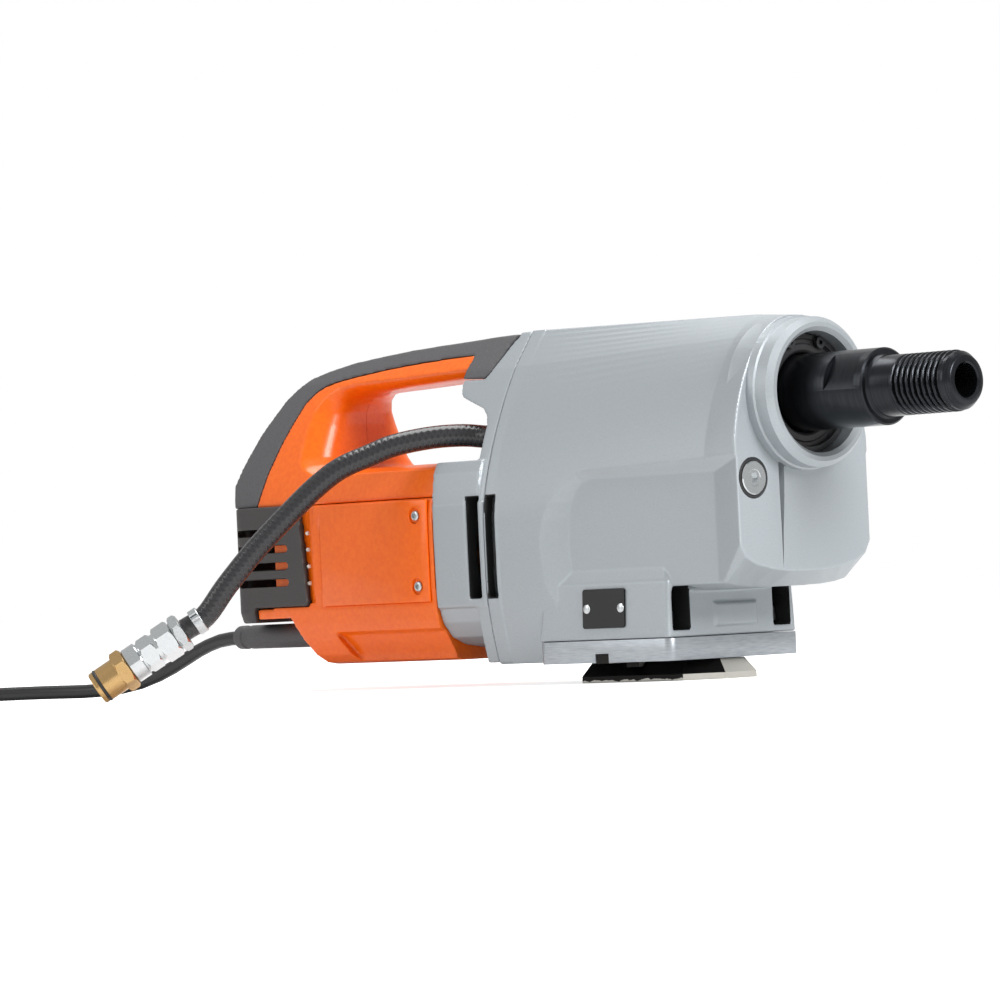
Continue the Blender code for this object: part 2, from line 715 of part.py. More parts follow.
def gear(name, teeth, module, axis, tooth_at, span, bore=None, material="steel"):
    wheel = prism(name, gear_outline(teeth, module, axis, tooth_at), "x", *span, material)
    if bore:
        cut(wheel, cylinder("bore", bore, axis, span[0] - 1, span[1] + 1, "x", 24))
    return wheel


def gear_train():
    motor_tooth, first_tooth = meshed(MOTOR_AXIS, MIDDLE_AXIS, FIRST_TEETH)
    steps = [
        (-232.5, 0), (-232.5, 5), (-221, 5), (-221, SHAFT_RADIUS), (-78, SHAFT_RADIUS), (-78, 6), (-67.5, 6),
        (-67.5, 4), (-56, 4), (-56, 0),
    ]
    shaft = turned("armature_shaft", steps, MOTOR_AXIS, "steel", 24)
    join(shaft, gear("teeth", MOTOR_TEETH, FIRST_MODULE, MOTOR_AXIS, motor_tooth, (-68, -56.5)))

    second_pinion_tooth, second_tooth = meshed(MIDDLE_AXIS, LAYSHAFT_AXIS, SECOND_TEETH)
    steps = [
        (PLATE_X[0], 0), (PLATE_X[0], MIDDLE_RADIUS), (-67.6, MIDDLE_RADIUS), (-67.6, 5), (-56.2, 5),
        (-56.2, MIDDLE_RADIUS), (MIDDLE_FRONT, MIDDLE_RADIUS), (MIDDLE_FRONT, 0),
    ]
    middle = turned("middle_shaft", steps, MIDDLE_AXIS, "steel", 24)
    pinion_span = (-56.5, -45.5)
    join(middle, gear("teeth", SECOND_PINION, SECOND_MODULE, MIDDLE_AXIS, second_pinion_tooth, pinion_span))
    join(middle, gear("wheel", FIRST_TEETH, FIRST_MODULE, MIDDLE_AXIS, first_tooth, GEAR_ONE_X))

    hollow = BAR_REAR - BAR_TRAVEL - 1
    bar_hole = BAR_HALF * math.sqrt(2) + 0.4
    lay = ring("layshaft", bar_hole, LAYSHAFT_RADIUS, hollow, LAYSHAFT_FRONT, LAYSHAFT_AXIS, "steel", 24)
    join(lay, cylinder("solid_end", LAYSHAFT_RADIUS, LAYSHAFT_AXIS, LAYSHAFT_REAR, hollow + 0.5, "x", 24))
    join(lay, gear("wheel", SECOND_TEETH, SECOND_MODULE, LAYSHAFT_AXIS, second_tooth, GEAR_TWO_X))

    tooth = {}
    for speed, (pinion_teeth, gear_teeth) in SPEED_TEETH.items():
        pinion_tooth, tooth[speed] = meshed(LAYSHAFT_AXIS, SPINDLE_AXIS, gear_teeth)
        bore = LAYSHAFT_RADIUS + (-1 if speed == "low" else GAP)
        span = SPEED_X[speed]
        pinion = gear(f"{speed}_pinion", pinion_teeth, SPEED_MODULE, LAYSHAFT_AXIS, pinion_tooth, span, bore)
        if speed == "low":
            join(lay, pinion)
    bore = SPINDLE_INNER + GAP
    wheels = {
        speed: gear(f"{speed}_gear", teeth[1], SPEED_MODULE, SPINDLE_AXIS, tooth[speed], SPEED_X[speed], bore)
        for speed, teeth in SPEED_TEETH.items()
    }
    low, high = SPEED_X["high"][1] - 1, SPEED_X["mid"][0] + 1
    hub = ring("hub", bore, HUB_RADIUS, low, high, SPINDLE_AXIS, "steel", 24)
    cluster = join(wheels["high"], hub, wheels["mid"])
    cluster.name = "gear_cluster"


def spindle():
    crests = round((THREAD_END - THREAD_START) / THREAD_PITCH)
    pitch = (THREAD_END - THREAD_START) / crests
    root = THREAD_RADIUS - THREAD_DEPTH
    thread = []
    for i in range(crests):
        x = THREAD_START + i * pitch
        thread += [(x + 0.25 * pitch, THREAD_RADIUS), (x + 0.5 * pitch, THREAD_RADIUS)]
        thread += [(x + 0.85 * pitch, root), (x + 0.95 * pitch, root)]
    end_radius = THREAD_RADIUS - 0.7
    profile = [
        (SPINDLE_REAR, BORE_RADIUS), (SPINDLE_REAR, SPINDLE_INNER), (SPINDLE_SHOULDER, SPINDLE_INNER),
        (SPINDLE_SHOULDER, COLLAR_RADIUS), (COLLAR_FRONT - 1.2, COLLAR_RADIUS),
        (COLLAR_FRONT, COLLAR_RADIUS - 1.2), (COLLAR_FRONT, NECK_RADIUS), (THREAD_START, NECK_RADIUS),
        *thread[:-1], (THREAD_END, end_radius), (SPINDLE_TIP - 3.2, end_radius),
        (SPINDLE_TIP, TIP_RADIUS), (SPINDLE_TIP, BORE_RADIUS),
    ]
    shaft = turned("spindle", profile, SPINDLE_AXIS, "black_steel", 32, hollow=True)
    for side in (-1, 1):
        low, high = sorted((side * FLAT_HALF, side * 30.0))
        cutter = box("flat", (FLAT_REAR, low, -30), (FLAT_FRONT, high, 30))
        turn = Matrix.Translation((0, 0, SPINDLE_Z * MM)) @ Matrix.Rotation(FLAT_TURN, 4, "X")
        cutter.data.transform(turn)
        cut(shaft, cutter)


def nose_seals():
    ring("shaft_seal", COLLAR_RADIUS + GAP, RING_BORE - GAP, *SEAL_X, SPINDLE_AXIS, "rubber", 32)
    clip = ring("retaining_ring", CLIP_INNER, RING_BORE - GAP, *CLIP_X, SPINDLE_AXIS, "black_steel", 40)
    cut(clip, box("opening", (CLIP_X[0] - 1, -3.5, SPINDLE_Z), (CLIP_X[1] + 1, 3.5, SPINDLE_Z + RING_RADIUS)))


# ---------------------------------------------------------------- gear selector


def shift_centre():
    """Height of the selector wheel, whose pitch circle touches the rack's pitch line."""
    return LAYSHAFT_AXIS[1] - BAR_HALF + RACK_TIP * SHIFT_MODULE - SHIFT_PITCH_RADIUS


def gear_selector():
    low, high = LAYSHAFT_AXIS[1] - BAR_HALF, LAYSHAFT_AXIS[1] + BAR_HALF
    pitch = math.pi * SHIFT_MODULE
    root = low + (RACK_TIP + RACK_ROOT) * SHIFT_MODULE
    teeth = math.ceil(BAR_TRAVEL / pitch)
    underside = [(SHIFT_X - (teeth + 1) * pitch, low), (SHIFT_X - (teeth + 0.9) * pitch, root)]
    for i in range(-teeth, teeth):
        x = SHIFT_X + (i + 0.5) * pitch
        underside += [(x - 0.93, root), (x - 0.37, low), (x + 0.37, low), (x + 0.93, root)]
    underside += [(SHIFT_X + (teeth + 0.9) * pitch, root), (SHIFT_X + (teeth + 1) * pitch, low)]
    outline = [(BAR_REAR, high), (BAR_REAR, low), *underside, (BAR_FRONT, low), (BAR_FRONT, high)]
    prism("shift_bar", outline, "y", LAYSHAFT_Y - BAR_HALF, LAYSHAFT_Y + BAR_HALF, "steel")

    centre = (SHIFT_X, shift_centre())
    reach = BODY_HALF + SELECTOR_REACH
    shaft = cylinder("selector_shaft", SELECTOR_RADIUS, centre, LAYSHAFT_Y - 5, reach, "y", 16)
    teeth_outline = gear_outline(SHIFT_TEETH, SHIFT_MODULE, centre, math.pi / 2)
    join(shaft, prism("teeth", teeth_outline, "y", LAYSHAFT_Y - 4, LAYSHAFT_Y + 4))
    low, high = KNOB_Y
    knob = cylinder("selector_knob", KNOB_RADIUS, centre, low, high, "y", 32, "black_plastic")
    grip_half = KNOB_RADIUS - 1
    grip_low = (SHIFT_X - grip_half, high - 1, centre[1] - 3.5)
    join(knob, box("grip", grip_low, (SHIFT_X + grip_half, high + 8, centre[1] + 3.5)))
    cut(knob, cylinder("bore", SELECTOR_RADIUS + GAP, centre, low - 1, reach + GAP, "y", 16))


# ---------------------------------------------------------------- motor


def motor():
    ring("stator", AIR_RADIUS, STATOR_RADIUS, *STACK_X, MOTOR_AXIS, "copper", 32)
    bore = SHAFT_RADIUS + GAP
    profile = [
        (-197.0, bore), (-197.0, 15.0), (-194.0, 22.0), (-190.0, CORE_RADIUS), (-140.0, CORE_RADIUS),
        (-136.0, 22.0), (-131.0, 14.0), (-131.0, bore),
    ]
    turned("armature_core", profile, MOTOR_AXIS, "copper", 32, hollow=True)
    ring("commutator", bore, 15.0, -217, -199, MOTOR_AXIS, "copper", 24)
    fan = ring("cooling_fan", bore, FAN_RADIUS + 1.5, -92.0, -89.0, MOTOR_AXIS, "black_plastic", 32)
    outline = []
    for i in range(FAN_BLADES):
        middle = 2 * math.pi * i / FAN_BLADES
        for radius, offset in ((13.0, -0.30), (FAN_RADIUS, -0.04), (FAN_RADIUS, 0.04), (13.0, 0.12)):
            angle = middle + offset
            outline.append((radius * math.cos(angle), MOTOR_Z + radius * math.sin(angle)))
    vanes = prism("vanes", outline, "x", -101.0, -91.0, "black_plastic")
    cut(vanes, cylinder("bore", bore, MOTOR_AXIS, -103, -88, "x", 32))
    join(fan, vanes)
    for side, label in ((-1, "left"), (1, "right")):
        inner, outer = sorted((side * 15.5, side * 38.0))
        low = (BRUSH_X[0], inner, MOTOR_Z - BRUSH_HALF)
        box(f"carbon_brush_{label}", low, (BRUSH_X[1], outer, MOTOR_Z + BRUSH_HALF), "black_plastic")


# ---------------------------------------------------------------- motor housing, handle and guard


def motor_housing():
    front = HOUSING_FRONT - GAP
    body = prism("motor_housing", body_outline(42, HANDLE_BOTTOM - GAP), "x", HOUSING_REAR, front, "orange")
    belly = [(-46, 46), (-47.5, 40), (-44.5, 22), (-38, 15), (38, 15), (44.5, 22), (47.5, 40), (46, 46)]
    hull = prism("lower", belly, "x", -250, front, "orange")
    cut(hull, prism("slope", [(-256, 10), (-230, 10), (-247, 41), (-256, 46)], "y", -BEYOND, BEYOND))
    shelf = [(-46, 42), (46, 42), (46, SHELF_TOP), (-46, SHELF_TOP)]
    tongue = prism("tongue", shelf, "x", -280, HOUSING_REAR + 2, "orange")
    join(body, hull, tongue)
    cut(body, cylinder("bore", STATOR_RADIUS + GAP, MOTOR_AXIS, -220, HOUSING_FRONT + 1, "x", 32))
    seat_end = REAR_BEARING_X[0] - 1
    cut(body, cylinder("bearing", TAIL_BEARING_RADIUS + GAP, MOTOR_AXIS, seat_end, -219, "x", 24))
    cut(body, cylinder("sleeve", SLEEVE_RADIUS + GAP, (SLEEVE_Y, SLEEVE_Z), -260, -223, "x", 16))
    for angle in (45, 135, 225, 315):
        turn = math.radians(angle)
        centre = (27 * math.cos(turn), MOTOR_Z + 27 * math.sin(turn) * 0.8)
        cut(body, cylinder("air", 6.5, centre, HOUSING_REAR - 1, -219, "x", 16))
    slot_half = BRUSH_HALF + GAP
    guide_half = slot_half + 2.2
    for side in (-1, 1):
        low, high = sorted((side * 20.0, side * 44.0))
        guide_low = (BRUSH_X[0] - 2, low, MOTOR_Z - guide_half)
        join(body, box("brush_guide", guide_low, (BRUSH_X[1] + 2, high, MOTOR_Z + guide_half)))
        low, high = sorted((side * 19.0, side * BEYOND))
        slot_low = (BRUSH_X[0] - GAP, low, MOTOR_Z - slot_half)
        cut(body, box("brush_slot", slot_low, (BRUSH_X[1] + GAP, high, MOTOR_Z + slot_half)))
        low, high = sorted((side * (BODY_HALF - COVER_PROUD - GAP), side * BEYOND))
        seat_low = (COVER_X[0] - 0.5, low, COVER_Z[0] - 0.6)
        cut(body, box("cover_seat", seat_low, (COVER_X[1] + 0.5, high, COVER_Z[1] + 0.6)))
        low, high = sorted((side * (BODY_HALF - GUARD_WALL - GAP), side * BEYOND))
        cut(body, box("guard_seat", (-290, low, SHELF_TOP + GAP), (GUARD_FRONT, high, 110)))
        low, high = sorted((side * (SCREW_TIP_Y - 0.5), side * BEYOND))
        for z in COVER_SCREW_Z:
            cut(body, cylinder("screw", SCREW_RADIUS + GAP, (COVER_SCREW_X, z), low, high, "y", 12))
    cut(body, box("switch", (-182.5, 36, 30), (-157.5, BEYOND, 42)))


def brush_covers():
    outer = BODY_HALF + COVER_PROUD
    head = BODY_HALF + 0.2
    for side, label in ((-1, "left"), (1, "right")):
        low, high = sorted((side * (BODY_HALF - COVER_PROUD), side * outer))
        corners = (COVER_X[0], low, COVER_Z[0]), (COVER_X[1], high, COVER_Z[1])
        cover = box(f"brush_cover_{label}", *corners, "orange")
        for row, z in zip(("lower", "upper"), COVER_SCREW_Z):
            centre = (COVER_SCREW_X, z)
            cut(cover, cylinder("hole", SCREW_RADIUS + GAP, centre, low - 1, high + 1, "y", 12))
            cut(cover, cylinder("head", 4.3, centre, *sorted((side * head, side * BEYOND)), "y", 16))
            screw_ends = sorted((side * (head + GAP), side * outer))
            screw = cylinder(f"cover_screw_{label}_{row}", 4.0, centre, *screw_ends, "y", 16)
            shank_ends = sorted((side * SCREW_TIP_Y, side * (head + 0.6)))
            join(screw, cylinder("shank", SCREW_RADIUS, centre, *shank_ends, "y", 12))


OUTER_CONTOUR = [
    (-96.5, 192.6), (-132, 191.6), (-180, 189.4), (-225, 185.0), (-247, 180.5), (-258, 175.5), (-267, 167.0),
    (-283, 147.0), (-292, 128.4), (-297, 114.6), (BODY_REAR, HANDLE_BOTTOM),
]
STRIP_CONTOUR = [
    (-124.5, 183.0), (-173, 180.8), (-217, 176.6), (-240, 172.8), (-248, 168.5), (-254, 162.0), (-264, 143.5),
    (-271, 124.8), (-275, HANDLE_BOTTOM),
]
LOOP = [
    (-126.3, 124.2), (-222, 124.2), (-229, 127), (-231, 134), (-231, 156), (-228, 163), (-221, 166.8),
    (-165, 168.2), (-126.3, 169.6),
]


def handle():
    """Two orange half shells, closed along the middle plane, with the grip strip over them."""
    front = HOUSING_FRONT - GAP
    under_strip = [(x + GAP, z - GAP) for x, z in STRIP_CONTOUR[1:-1]]
    corner = (STRIP_CONTOUR[-1][0] + GAP, HANDLE_BOTTOM)
    loop_low, loop_high = LOOP[0][1], LOOP[-1][1]
    outline = [
        (front, 182.6), *under_strip, corner, (front, HANDLE_BOTTOM), (front, loop_low), *LOOP[1:-1],
        (front, loop_high),
    ]
    for side, label in ((-1, "left"), (1, "right")):
        low, high = sorted((side * GAP / 2, side * BEYOND))
        half = prism(f"handle_shell_{label}", outline, "y", low, high, "orange")
        intersect(half, prism("envelope", body_outline(100, 193), "x", -320, -100))
        cut(half, cylinder("bore", STATOR_RADIUS + GAP, MOTOR_AXIS, -246, HOUSING_FRONT + 1, "x", 32))
        low, high = sorted((side * -1, side * 24))
        cut(half, box("pocket", (-258, low, 112), (-239, high, 146)))
    box("control_board", (-257.7, 8, 112.3), (-239.3, 9.6, 145.7), "board")

    side_view = [*OUTER_CONTOUR, *reversed(STRIP_CONTOUR), (-125.9, 169.9), (-108.3, 169.1)]
    strip = prism("handle_grip_strip", side_view, "y", -BEYOND, BEYOND, "dark_grip")
    intersect(strip, prism("envelope", body_outline(100, 193.4), "x", -320, -90))


def rear_guard():
    rear_top = HANDLE_BOTTOM - GAP
    half = BODY_HALF + GUARD_PROUD
    right = [(GUARD_FRONT, half)]
    for k in range(5):
        angle = math.radians(90 + 22.5 * k)
        x = BODY_REAR + GUARD_CORNER * (1 + math.cos(angle))
        right.append((x, half - GUARD_CORNER * (1 - math.sin(angle))))
    outline = right + [(x, -y) for x, y in reversed(right)]
    guard = prism("rear_guard", outline, "z", GUARD_BOTTOM, rear_top, "black_plastic")
    inner_half = BODY_HALF - GUARD_WALL
    right = [(GUARD_FRONT + 1, inner_half), (BODY_REAR + 10, inner_half), (BODY_REAR + 4, inner_half - 6)]
    inner = right + [(x, -y) for x, y in reversed(right)]
    cut(guard, prism("hollow", inner, "z", SHELF_TOP + 0.5, rear_top + 1))
    cut(guard, box("underside", (-281, -BEYOND, GUARD_BOTTOM - 1), (GUARD_FRONT + 1, BEYOND, SHELF_TOP + 1)))
    for i in range(GRILLE_SLOTS):
        z = GRILLE_LOW + GRILLE_PITCH * i
        cut(guard, box("slot", (-291, -BEYOND, z), (-247, BEYOND, z + GRILLE_HEIGHT)))


def power_switch():
    x, y, z = SWITCH_PIVOT
    right = [(0, y - 4.0), (10, y + 0.5), (9.6, y + 6.5), (0, y + 4.8)]
    outline = [(x + a, b) for a, b in right] + [(x - a, b) for a, b in reversed(right[1:3])]
    prism("switch_rocker", outline, "z", z - 5.5, z + 5.5, "red_plastic")


def nameplate():
    left, low, right, high = PLATE_CORNERS
    outline = [
        (left + 1, low), (right - 1, low), (right, low + 1), (right, high - 1),
        (right - 1, high), (left + 1, high), (left, high - 1), (left, low + 1),
    ]
    foot = -FOOT_HALF - GAP
    plate = prism("nameplate", outline, "y", foot - 0.6, foot, "plate_black")
    for label, x in RIVET_X.items():
        centre = (x, RIVET_Z)
        cut(plate, cylinder("hole", 1.6, centre, -BEYOND, 1 - FOOT_HALF, "y", 12))
        rivet = cylinder(f"nameplate_rivet_{label}", 2.5, centre, foot - 1.7, foot - 0.9, "y", 16)
        join(rivet, cylinder("pin", 1.3, centre, foot - 1.2, foot, "y", 12))


# ---------------------------------------------------------------- water and power lines


def water_line():
    head, seat = HOSE_EXIT[0] + GAP, PLATE_REAR - GAP
    profile = [
        (head, 0), (head, INLET_HEAD), (seat, INLET_HEAD), (seat, INLET_RADIUS),
        (CASE_REAR, INLET_RADIUS), (CASE_REAR, 0),
    ]
    turned("water_inlet", profile, HOSE_EXIT[1:], "brass", 16)
    route = [
        (CASE_REAR + GAP, *HOSE_EXIT[1:]), (-79.5, -22, 137.2), (-66, -15, 143), (-56, -6, 147),
        (-46, 0, SPINDLE_Z),
    ]
    bent = solid_of(tube("pipe", route, PIPE_DIAMETER, "copper", 5))
    swivel = ring("water_swivel", 5.0, 15.7, -42.0, SPINDLE_REAR - GAP, SPINDLE_AXIS, "brass", 24)
    join(swivel, cylinder("cap", 12.0, SPINDLE_AXIS, -48.0, -41.0, "x", 24), bent)

    before_end = tuple(a - 14 * b for a, b in zip(HOSE_END, COUPLING_AXIS))
    route = [
        HOSE_EXIT, (-111, -22.3, 137.2), (-122, -28, 138.6), (-134, -40.5, 138.2), (-148, -55.5, 135),
        (-158, -65.7, 130), (-169.5, -77.8, 123.5), (-179.5, -88, 113.5), (-191, -100.5, 98),
        (-203.5, -113.2, 80.5), (-215, -125.2, 61.5), before_end, HOSE_END,
    ]
    tube("water_hose", route, HOSE_DIAMETER, "rubber", 14, 3)
    pieces = (
        ("coupling_nut", [(GAP, 0), (GAP, 9.5), (12, 9.5), (12, 0)], "steel", 6),
        ("coupling_body", [(12.3, 0), (12.3, 10), (16, 11.5), (30, 11.5), (36, 10.5), (36, 0)], "steel", 24),
        ("coupling_nipple", [(36.3, 0), (36.3, 11.8), (48, 11.8), (48, 9), (58, 9), (58, 0)], "brass", 12),
    )
    for name, profile, material, sides in pieces:
        aim(turned(name, profile, (0, 0), material, sides), HOSE_END, COUPLING_AXIS)
    clamp = ring("hose_clamp", HOSE_DIAMETER / 2 + 0.8, 8.6, -11, -3, (0, 0), "steel", 24)
    aim(clamp, HOSE_END, COUPLING_AXIS)


def power_line():
    cylinder("strain_relief", SLEEVE_RADIUS, (SLEEVE_Y, SLEEVE_Z), SLEEVE_REAR, -224, "x", 16, "rubber")
    floor = CORD_DIAMETER / 2 + GAP
    ring_outer = COIL_RADIUS + COIL_LAYERS * CORD_DIAMETER / 2
    beside_coil = COIL_CENTRE[1] - ring_outer - CORD_DIAMETER / 2 - GAP
    route = [
        (SLEEVE_REAR - GAP, SLEEVE_Y, SLEEVE_Z), (-338, SLEEVE_Y, 30.5), (-358, -25, 25), (-380, -26, 16),
        (-404, -30, 8), (-430, -40, floor), (-465, -56, floor), (-505, -78, floor), (-550, -100, floor),
        (-600, -114, floor), (-640, -117, floor), (COIL_CENTRE[0] - 6, beside_coil, floor),
    ]
    tube("power_cord", route, CORD_DIAMETER, "rubber", 16)
    inner = COIL_RADIUS - COIL_LAYERS * CORD_DIAMETER / 2
    height = COIL_LAYERS * CORD_DIAMETER
    sides = 32
    low, high = GAP, GAP + height
    coil = prism("cord_coil", circle(ring_outer, COIL_CENTRE, sides), "z", low, high, "rubber")
    cut(coil, prism("eye", circle(inner, COIL_CENTRE, sides), "z", low - 1, high + 1))
    tail_x = COIL_CENTRE[0] - ring_outer + CORD_DIAMETER / 2
    plug_z = PLUG_RADIUS + GAP
    top = high - CORD_DIAMETER / 2
    end = COIL_CENTRE[1] + TAIL_LENGTH
    drop = [(end - 44, top), (end - 30, top - 2), (end - 10, plug_z), (end, plug_z)]
    tail = [(tail_x, y, z) for y, z in drop]
    join(coil, solid_of(tube("tail", tail, CORD_DIAMETER, "rubber", 8)))

    profile = [
        (0, 0), (0, 6.0), (22, 7.0), (26, PLUG_RADIUS - 2.5), (30, PLUG_RADIUS - 0.5), (50, PLUG_RADIUS),
        (50, 0),
    ]
    plug = turned("power_plug", profile, (0, 0), "rubber", 20)
    for side in (-1, 1):
        join(plug, cylinder("pin", 2.4, (side * 9.5, 0), 49, 69, "x", 10))
    aim(plug, (tail_x, end + GAP, plug_z), (0, 1, 0))


# ---------------------------------------------------------------- assembly


def set_pivot(pivot, *names):
    """Puts the origin of moving pieces on their joint's axis, without moving their shapes."""
    place = Vector(pivot) * MM
    for name in names:
        piece = bpy.data.objects[name]
        piece.data.transform(Matrix.Translation(-place))
        piece.location = place


def build():
    clear_scene()
    mounting_plates()
    foot_bolts()
    gearbox_housing()
    oil_plug()
    motor_flange()
    bearing_plate()
    bearings()
    gear_train()
    spindle()
    nose_seals()
    gear_selector()
    motor()
    motor_housing()
    brush_covers()
    handle()
    rear_guard()
    power_switch()
    nameplate()
    water_line()
    power_line()
    set_pivot((0, *SPINDLE_AXIS), "spindle", "low_gear", "gear_cluster")
    set_pivot((0, *LAYSHAFT_AXIS), "layshaft", "mid_pinion", "high_pinion", "shift_bar")
    set_pivot((0, *MIDDLE_AXIS), "middle_shaft")
    set_pivot((0, *MOTOR_AXIS), "armature_shaft", "armature_core", "commutator", "cooling_fan")
    set_pivot((SHIFT_X, 0, shift_centre()), "selector_shaft", "selector_knob")
    set_pivot(SWITCH_PIVOT, "switch_rocker")


build()
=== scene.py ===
"""The looks of a core drill motor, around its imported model: castings, mouldings, spindle, hose and lead.

Sizes here are in millimetres and MM turns them to metres. +X runs along the spindle to its tip, +Z is up,
and -Y is the side that carries the nameplate.
"""

import json
import math

import bpy
from mathutils import Matrix, Vector


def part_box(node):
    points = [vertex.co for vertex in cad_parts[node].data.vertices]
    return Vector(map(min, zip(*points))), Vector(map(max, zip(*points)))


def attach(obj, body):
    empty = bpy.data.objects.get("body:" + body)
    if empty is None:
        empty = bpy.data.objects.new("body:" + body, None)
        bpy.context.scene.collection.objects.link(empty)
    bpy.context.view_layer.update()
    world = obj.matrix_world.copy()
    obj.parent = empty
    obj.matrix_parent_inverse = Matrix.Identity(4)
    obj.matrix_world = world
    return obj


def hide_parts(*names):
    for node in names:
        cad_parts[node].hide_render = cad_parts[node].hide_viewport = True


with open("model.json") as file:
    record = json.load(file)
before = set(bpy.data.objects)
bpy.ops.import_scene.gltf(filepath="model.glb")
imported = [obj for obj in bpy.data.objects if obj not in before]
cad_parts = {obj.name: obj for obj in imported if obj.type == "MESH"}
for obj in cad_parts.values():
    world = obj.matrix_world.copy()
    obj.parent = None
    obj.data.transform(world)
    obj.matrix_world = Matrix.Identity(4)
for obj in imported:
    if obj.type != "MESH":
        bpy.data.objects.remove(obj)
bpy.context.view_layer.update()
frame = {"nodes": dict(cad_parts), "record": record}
MM = 0.001


# ---- Studio --------------------------------------------------------------------------------
# A white sweep under soft boxes: one in front of the nose, one overhead and a weak one by the side.
# The background is white to the camera, half as bright in reflections and dimmer still as a light.


def linear(code):
    """An sRGB hex colour as linear RGBA."""
    parts = [int(code[i : i + 2], 16) / 255 for i in (1, 3, 5)]
    return (*(p / 12.92 if p <= 0.04045 else ((p + 0.055) / 1.055) ** 2.4 for p in parts), 1.0)


def add_node(tree, kind, settings=(), links=()):
    """A node with settings on its sockets or itself, and links from (input, output socket) pairs."""
    node = tree.nodes.new(kind)
    for name, value in dict(settings).items():
        if isinstance(name, int) or name in node.inputs:
            node.inputs[name].default_value = value
        else:
            setattr(node, name, value)
    for name, socket in dict(links).items():
        tree.links.new(socket, node.inputs[name])
    return node


scene = bpy.context.scene
scene.view_settings.view_transform = "Standard"

AZIMUTH, ELEVATION, ROLL = (math.radians(angle) for angle in (46.1, -0.93, 2.67))
back = Vector((
    math.sin(AZIMUTH) * math.cos(ELEVATION), -math.cos(AZIMUTH) * math.cos(ELEVATION), math.sin(ELEVATION)
))
level_right = Vector((math.cos(AZIMUTH), math.sin(AZIMUTH), 0))
level_up = back.cross(level_right)
right = level_right * math.cos(ROLL) - level_up * math.sin(ROLL)
up = level_up * math.cos(ROLL) + level_right * math.sin(ROLL)
lens = bpy.data.cameras.new("camera")
lens.sensor_width = 36
lens.lens = 198
lens.clip_end = 50
camera = bpy.data.objects.new("camera", lens)
turned_to_part = Matrix((right, up, back)).transposed().to_4x4()
camera.matrix_world = Matrix.Translation((2.0760, -2.1177, 0.0528)) @ turned_to_part
scene.collection.objects.link(camera)
scene.camera = camera

REFLECTED_WHITE = 0.55
AMBIENT_WHITE = 0.24
world = bpy.data.worlds.new("white_room")
scene.world = world
world.use_nodes = True
tree = world.node_tree
tree.nodes.clear()
rays = add_node(tree, "ShaderNodeLightPath")
seen = add_node(tree, "ShaderNodeMath", {"operation": "MAXIMUM"},
                {0: rays.outputs["Is Camera Ray"], 1: rays.outputs["Is Transmission Ray"]})
glossy = add_node(tree, "ShaderNodeMath", {"operation": "MULTIPLY", 1: REFLECTED_WHITE},
                  {0: rays.outputs["Is Glossy Ray"]})
seen = add_node(tree, "ShaderNodeMath", {"operation": "MAXIMUM"}, {0: seen.outputs[0], 1: glossy.outputs[0]})
dim = add_node(tree, "ShaderNodeBackground", {"Color": (1, 1, 1, 1), "Strength": AMBIENT_WHITE})
white = add_node(tree, "ShaderNodeBackground", {"Color": (1, 1, 1, 1), "Strength": 1.0})
mixed = add_node(tree, "ShaderNodeMixShader", {},
                 {0: seen.outputs[0], 1: dim.outputs[0], 2: white.outputs[0]})
add_node(tree, "ShaderNodeOutputWorld", {}, {"Surface": mixed.outputs[0]})

for name, place, width, power in (
    ("nose_box", (2.3, -0.2, 1.3), 1.0, 70.0),
    ("top_box", (-0.3, 0.2, 2.0), 1.5, 42.0),
    ("side_box", (-1.2, -2.0, 0.9), 1.2, 11.5),
):
    lamp = bpy.data.lights.new(name, "AREA")
    lamp.size = width
    lamp.energy = power
    light = bpy.data.objects.new(name, lamp)
    light.location = place
    light.rotation_euler = (Vector((-0.05, 0, 0.1)) - Vector(place)).to_track_quat("-Z", "Y").to_euler()
    scene.collection.objects.link(light)

bpy.ops.object.select_all(action="DESELECT")
bpy.ops.mesh.primitive_plane_add(size=40)
floor = bpy.context.object
floor.name = "floor"
paper = bpy.data.materials.new("white_paper")
paper.use_nodes = True
tree = paper.node_tree
shader = tree.nodes["Principled BSDF"]
shader.inputs["Base Color"].default_value = linear("#f4f4f4")
shader.inputs["Roughness"].default_value = 0.8
rays = add_node(tree, "ShaderNodeLightPath")
glow = add_node(tree, "ShaderNodeEmission", {"Color": (1, 1, 1, 1), "Strength": 0.74})
plain = add_node(tree, "ShaderNodeEmission", {"Color": (1, 1, 1, 1), "Strength": 0.0})
camera_only = add_node(tree, "ShaderNodeMixShader", {},
                       {0: rays.outputs["Is Camera Ray"], 1: plain.outputs[0], 2: glow.outputs[0]})
lifted = add_node(tree, "ShaderNodeAddShader", {}, {0: shader.outputs[0], 1: camera_only.outputs[0]})
tree.links.new(lifted.outputs[0], tree.nodes["Material Output"].inputs["Surface"])
floor.data.materials.append(paper)


# ---- Mains lead ----------------------------------------------------------------------------
# Rubber-sheathed flex, 8 mm across and 5 m long. It leaves a long bend sleeve, drops to the floor,
# and its far end is wound in a coil for storage with the plug beside it.

LEAD_DIAMETER = 8.0
COIL_CENTRE = Vector((-675.0, -50.0))
COIL_MIDDLE_RADIUS = 46.0
COIL_ROWS = 4
COIL_TURNS = 15
LEAD_FLOOR = LEAD_DIAMETER / 2 + 0.3


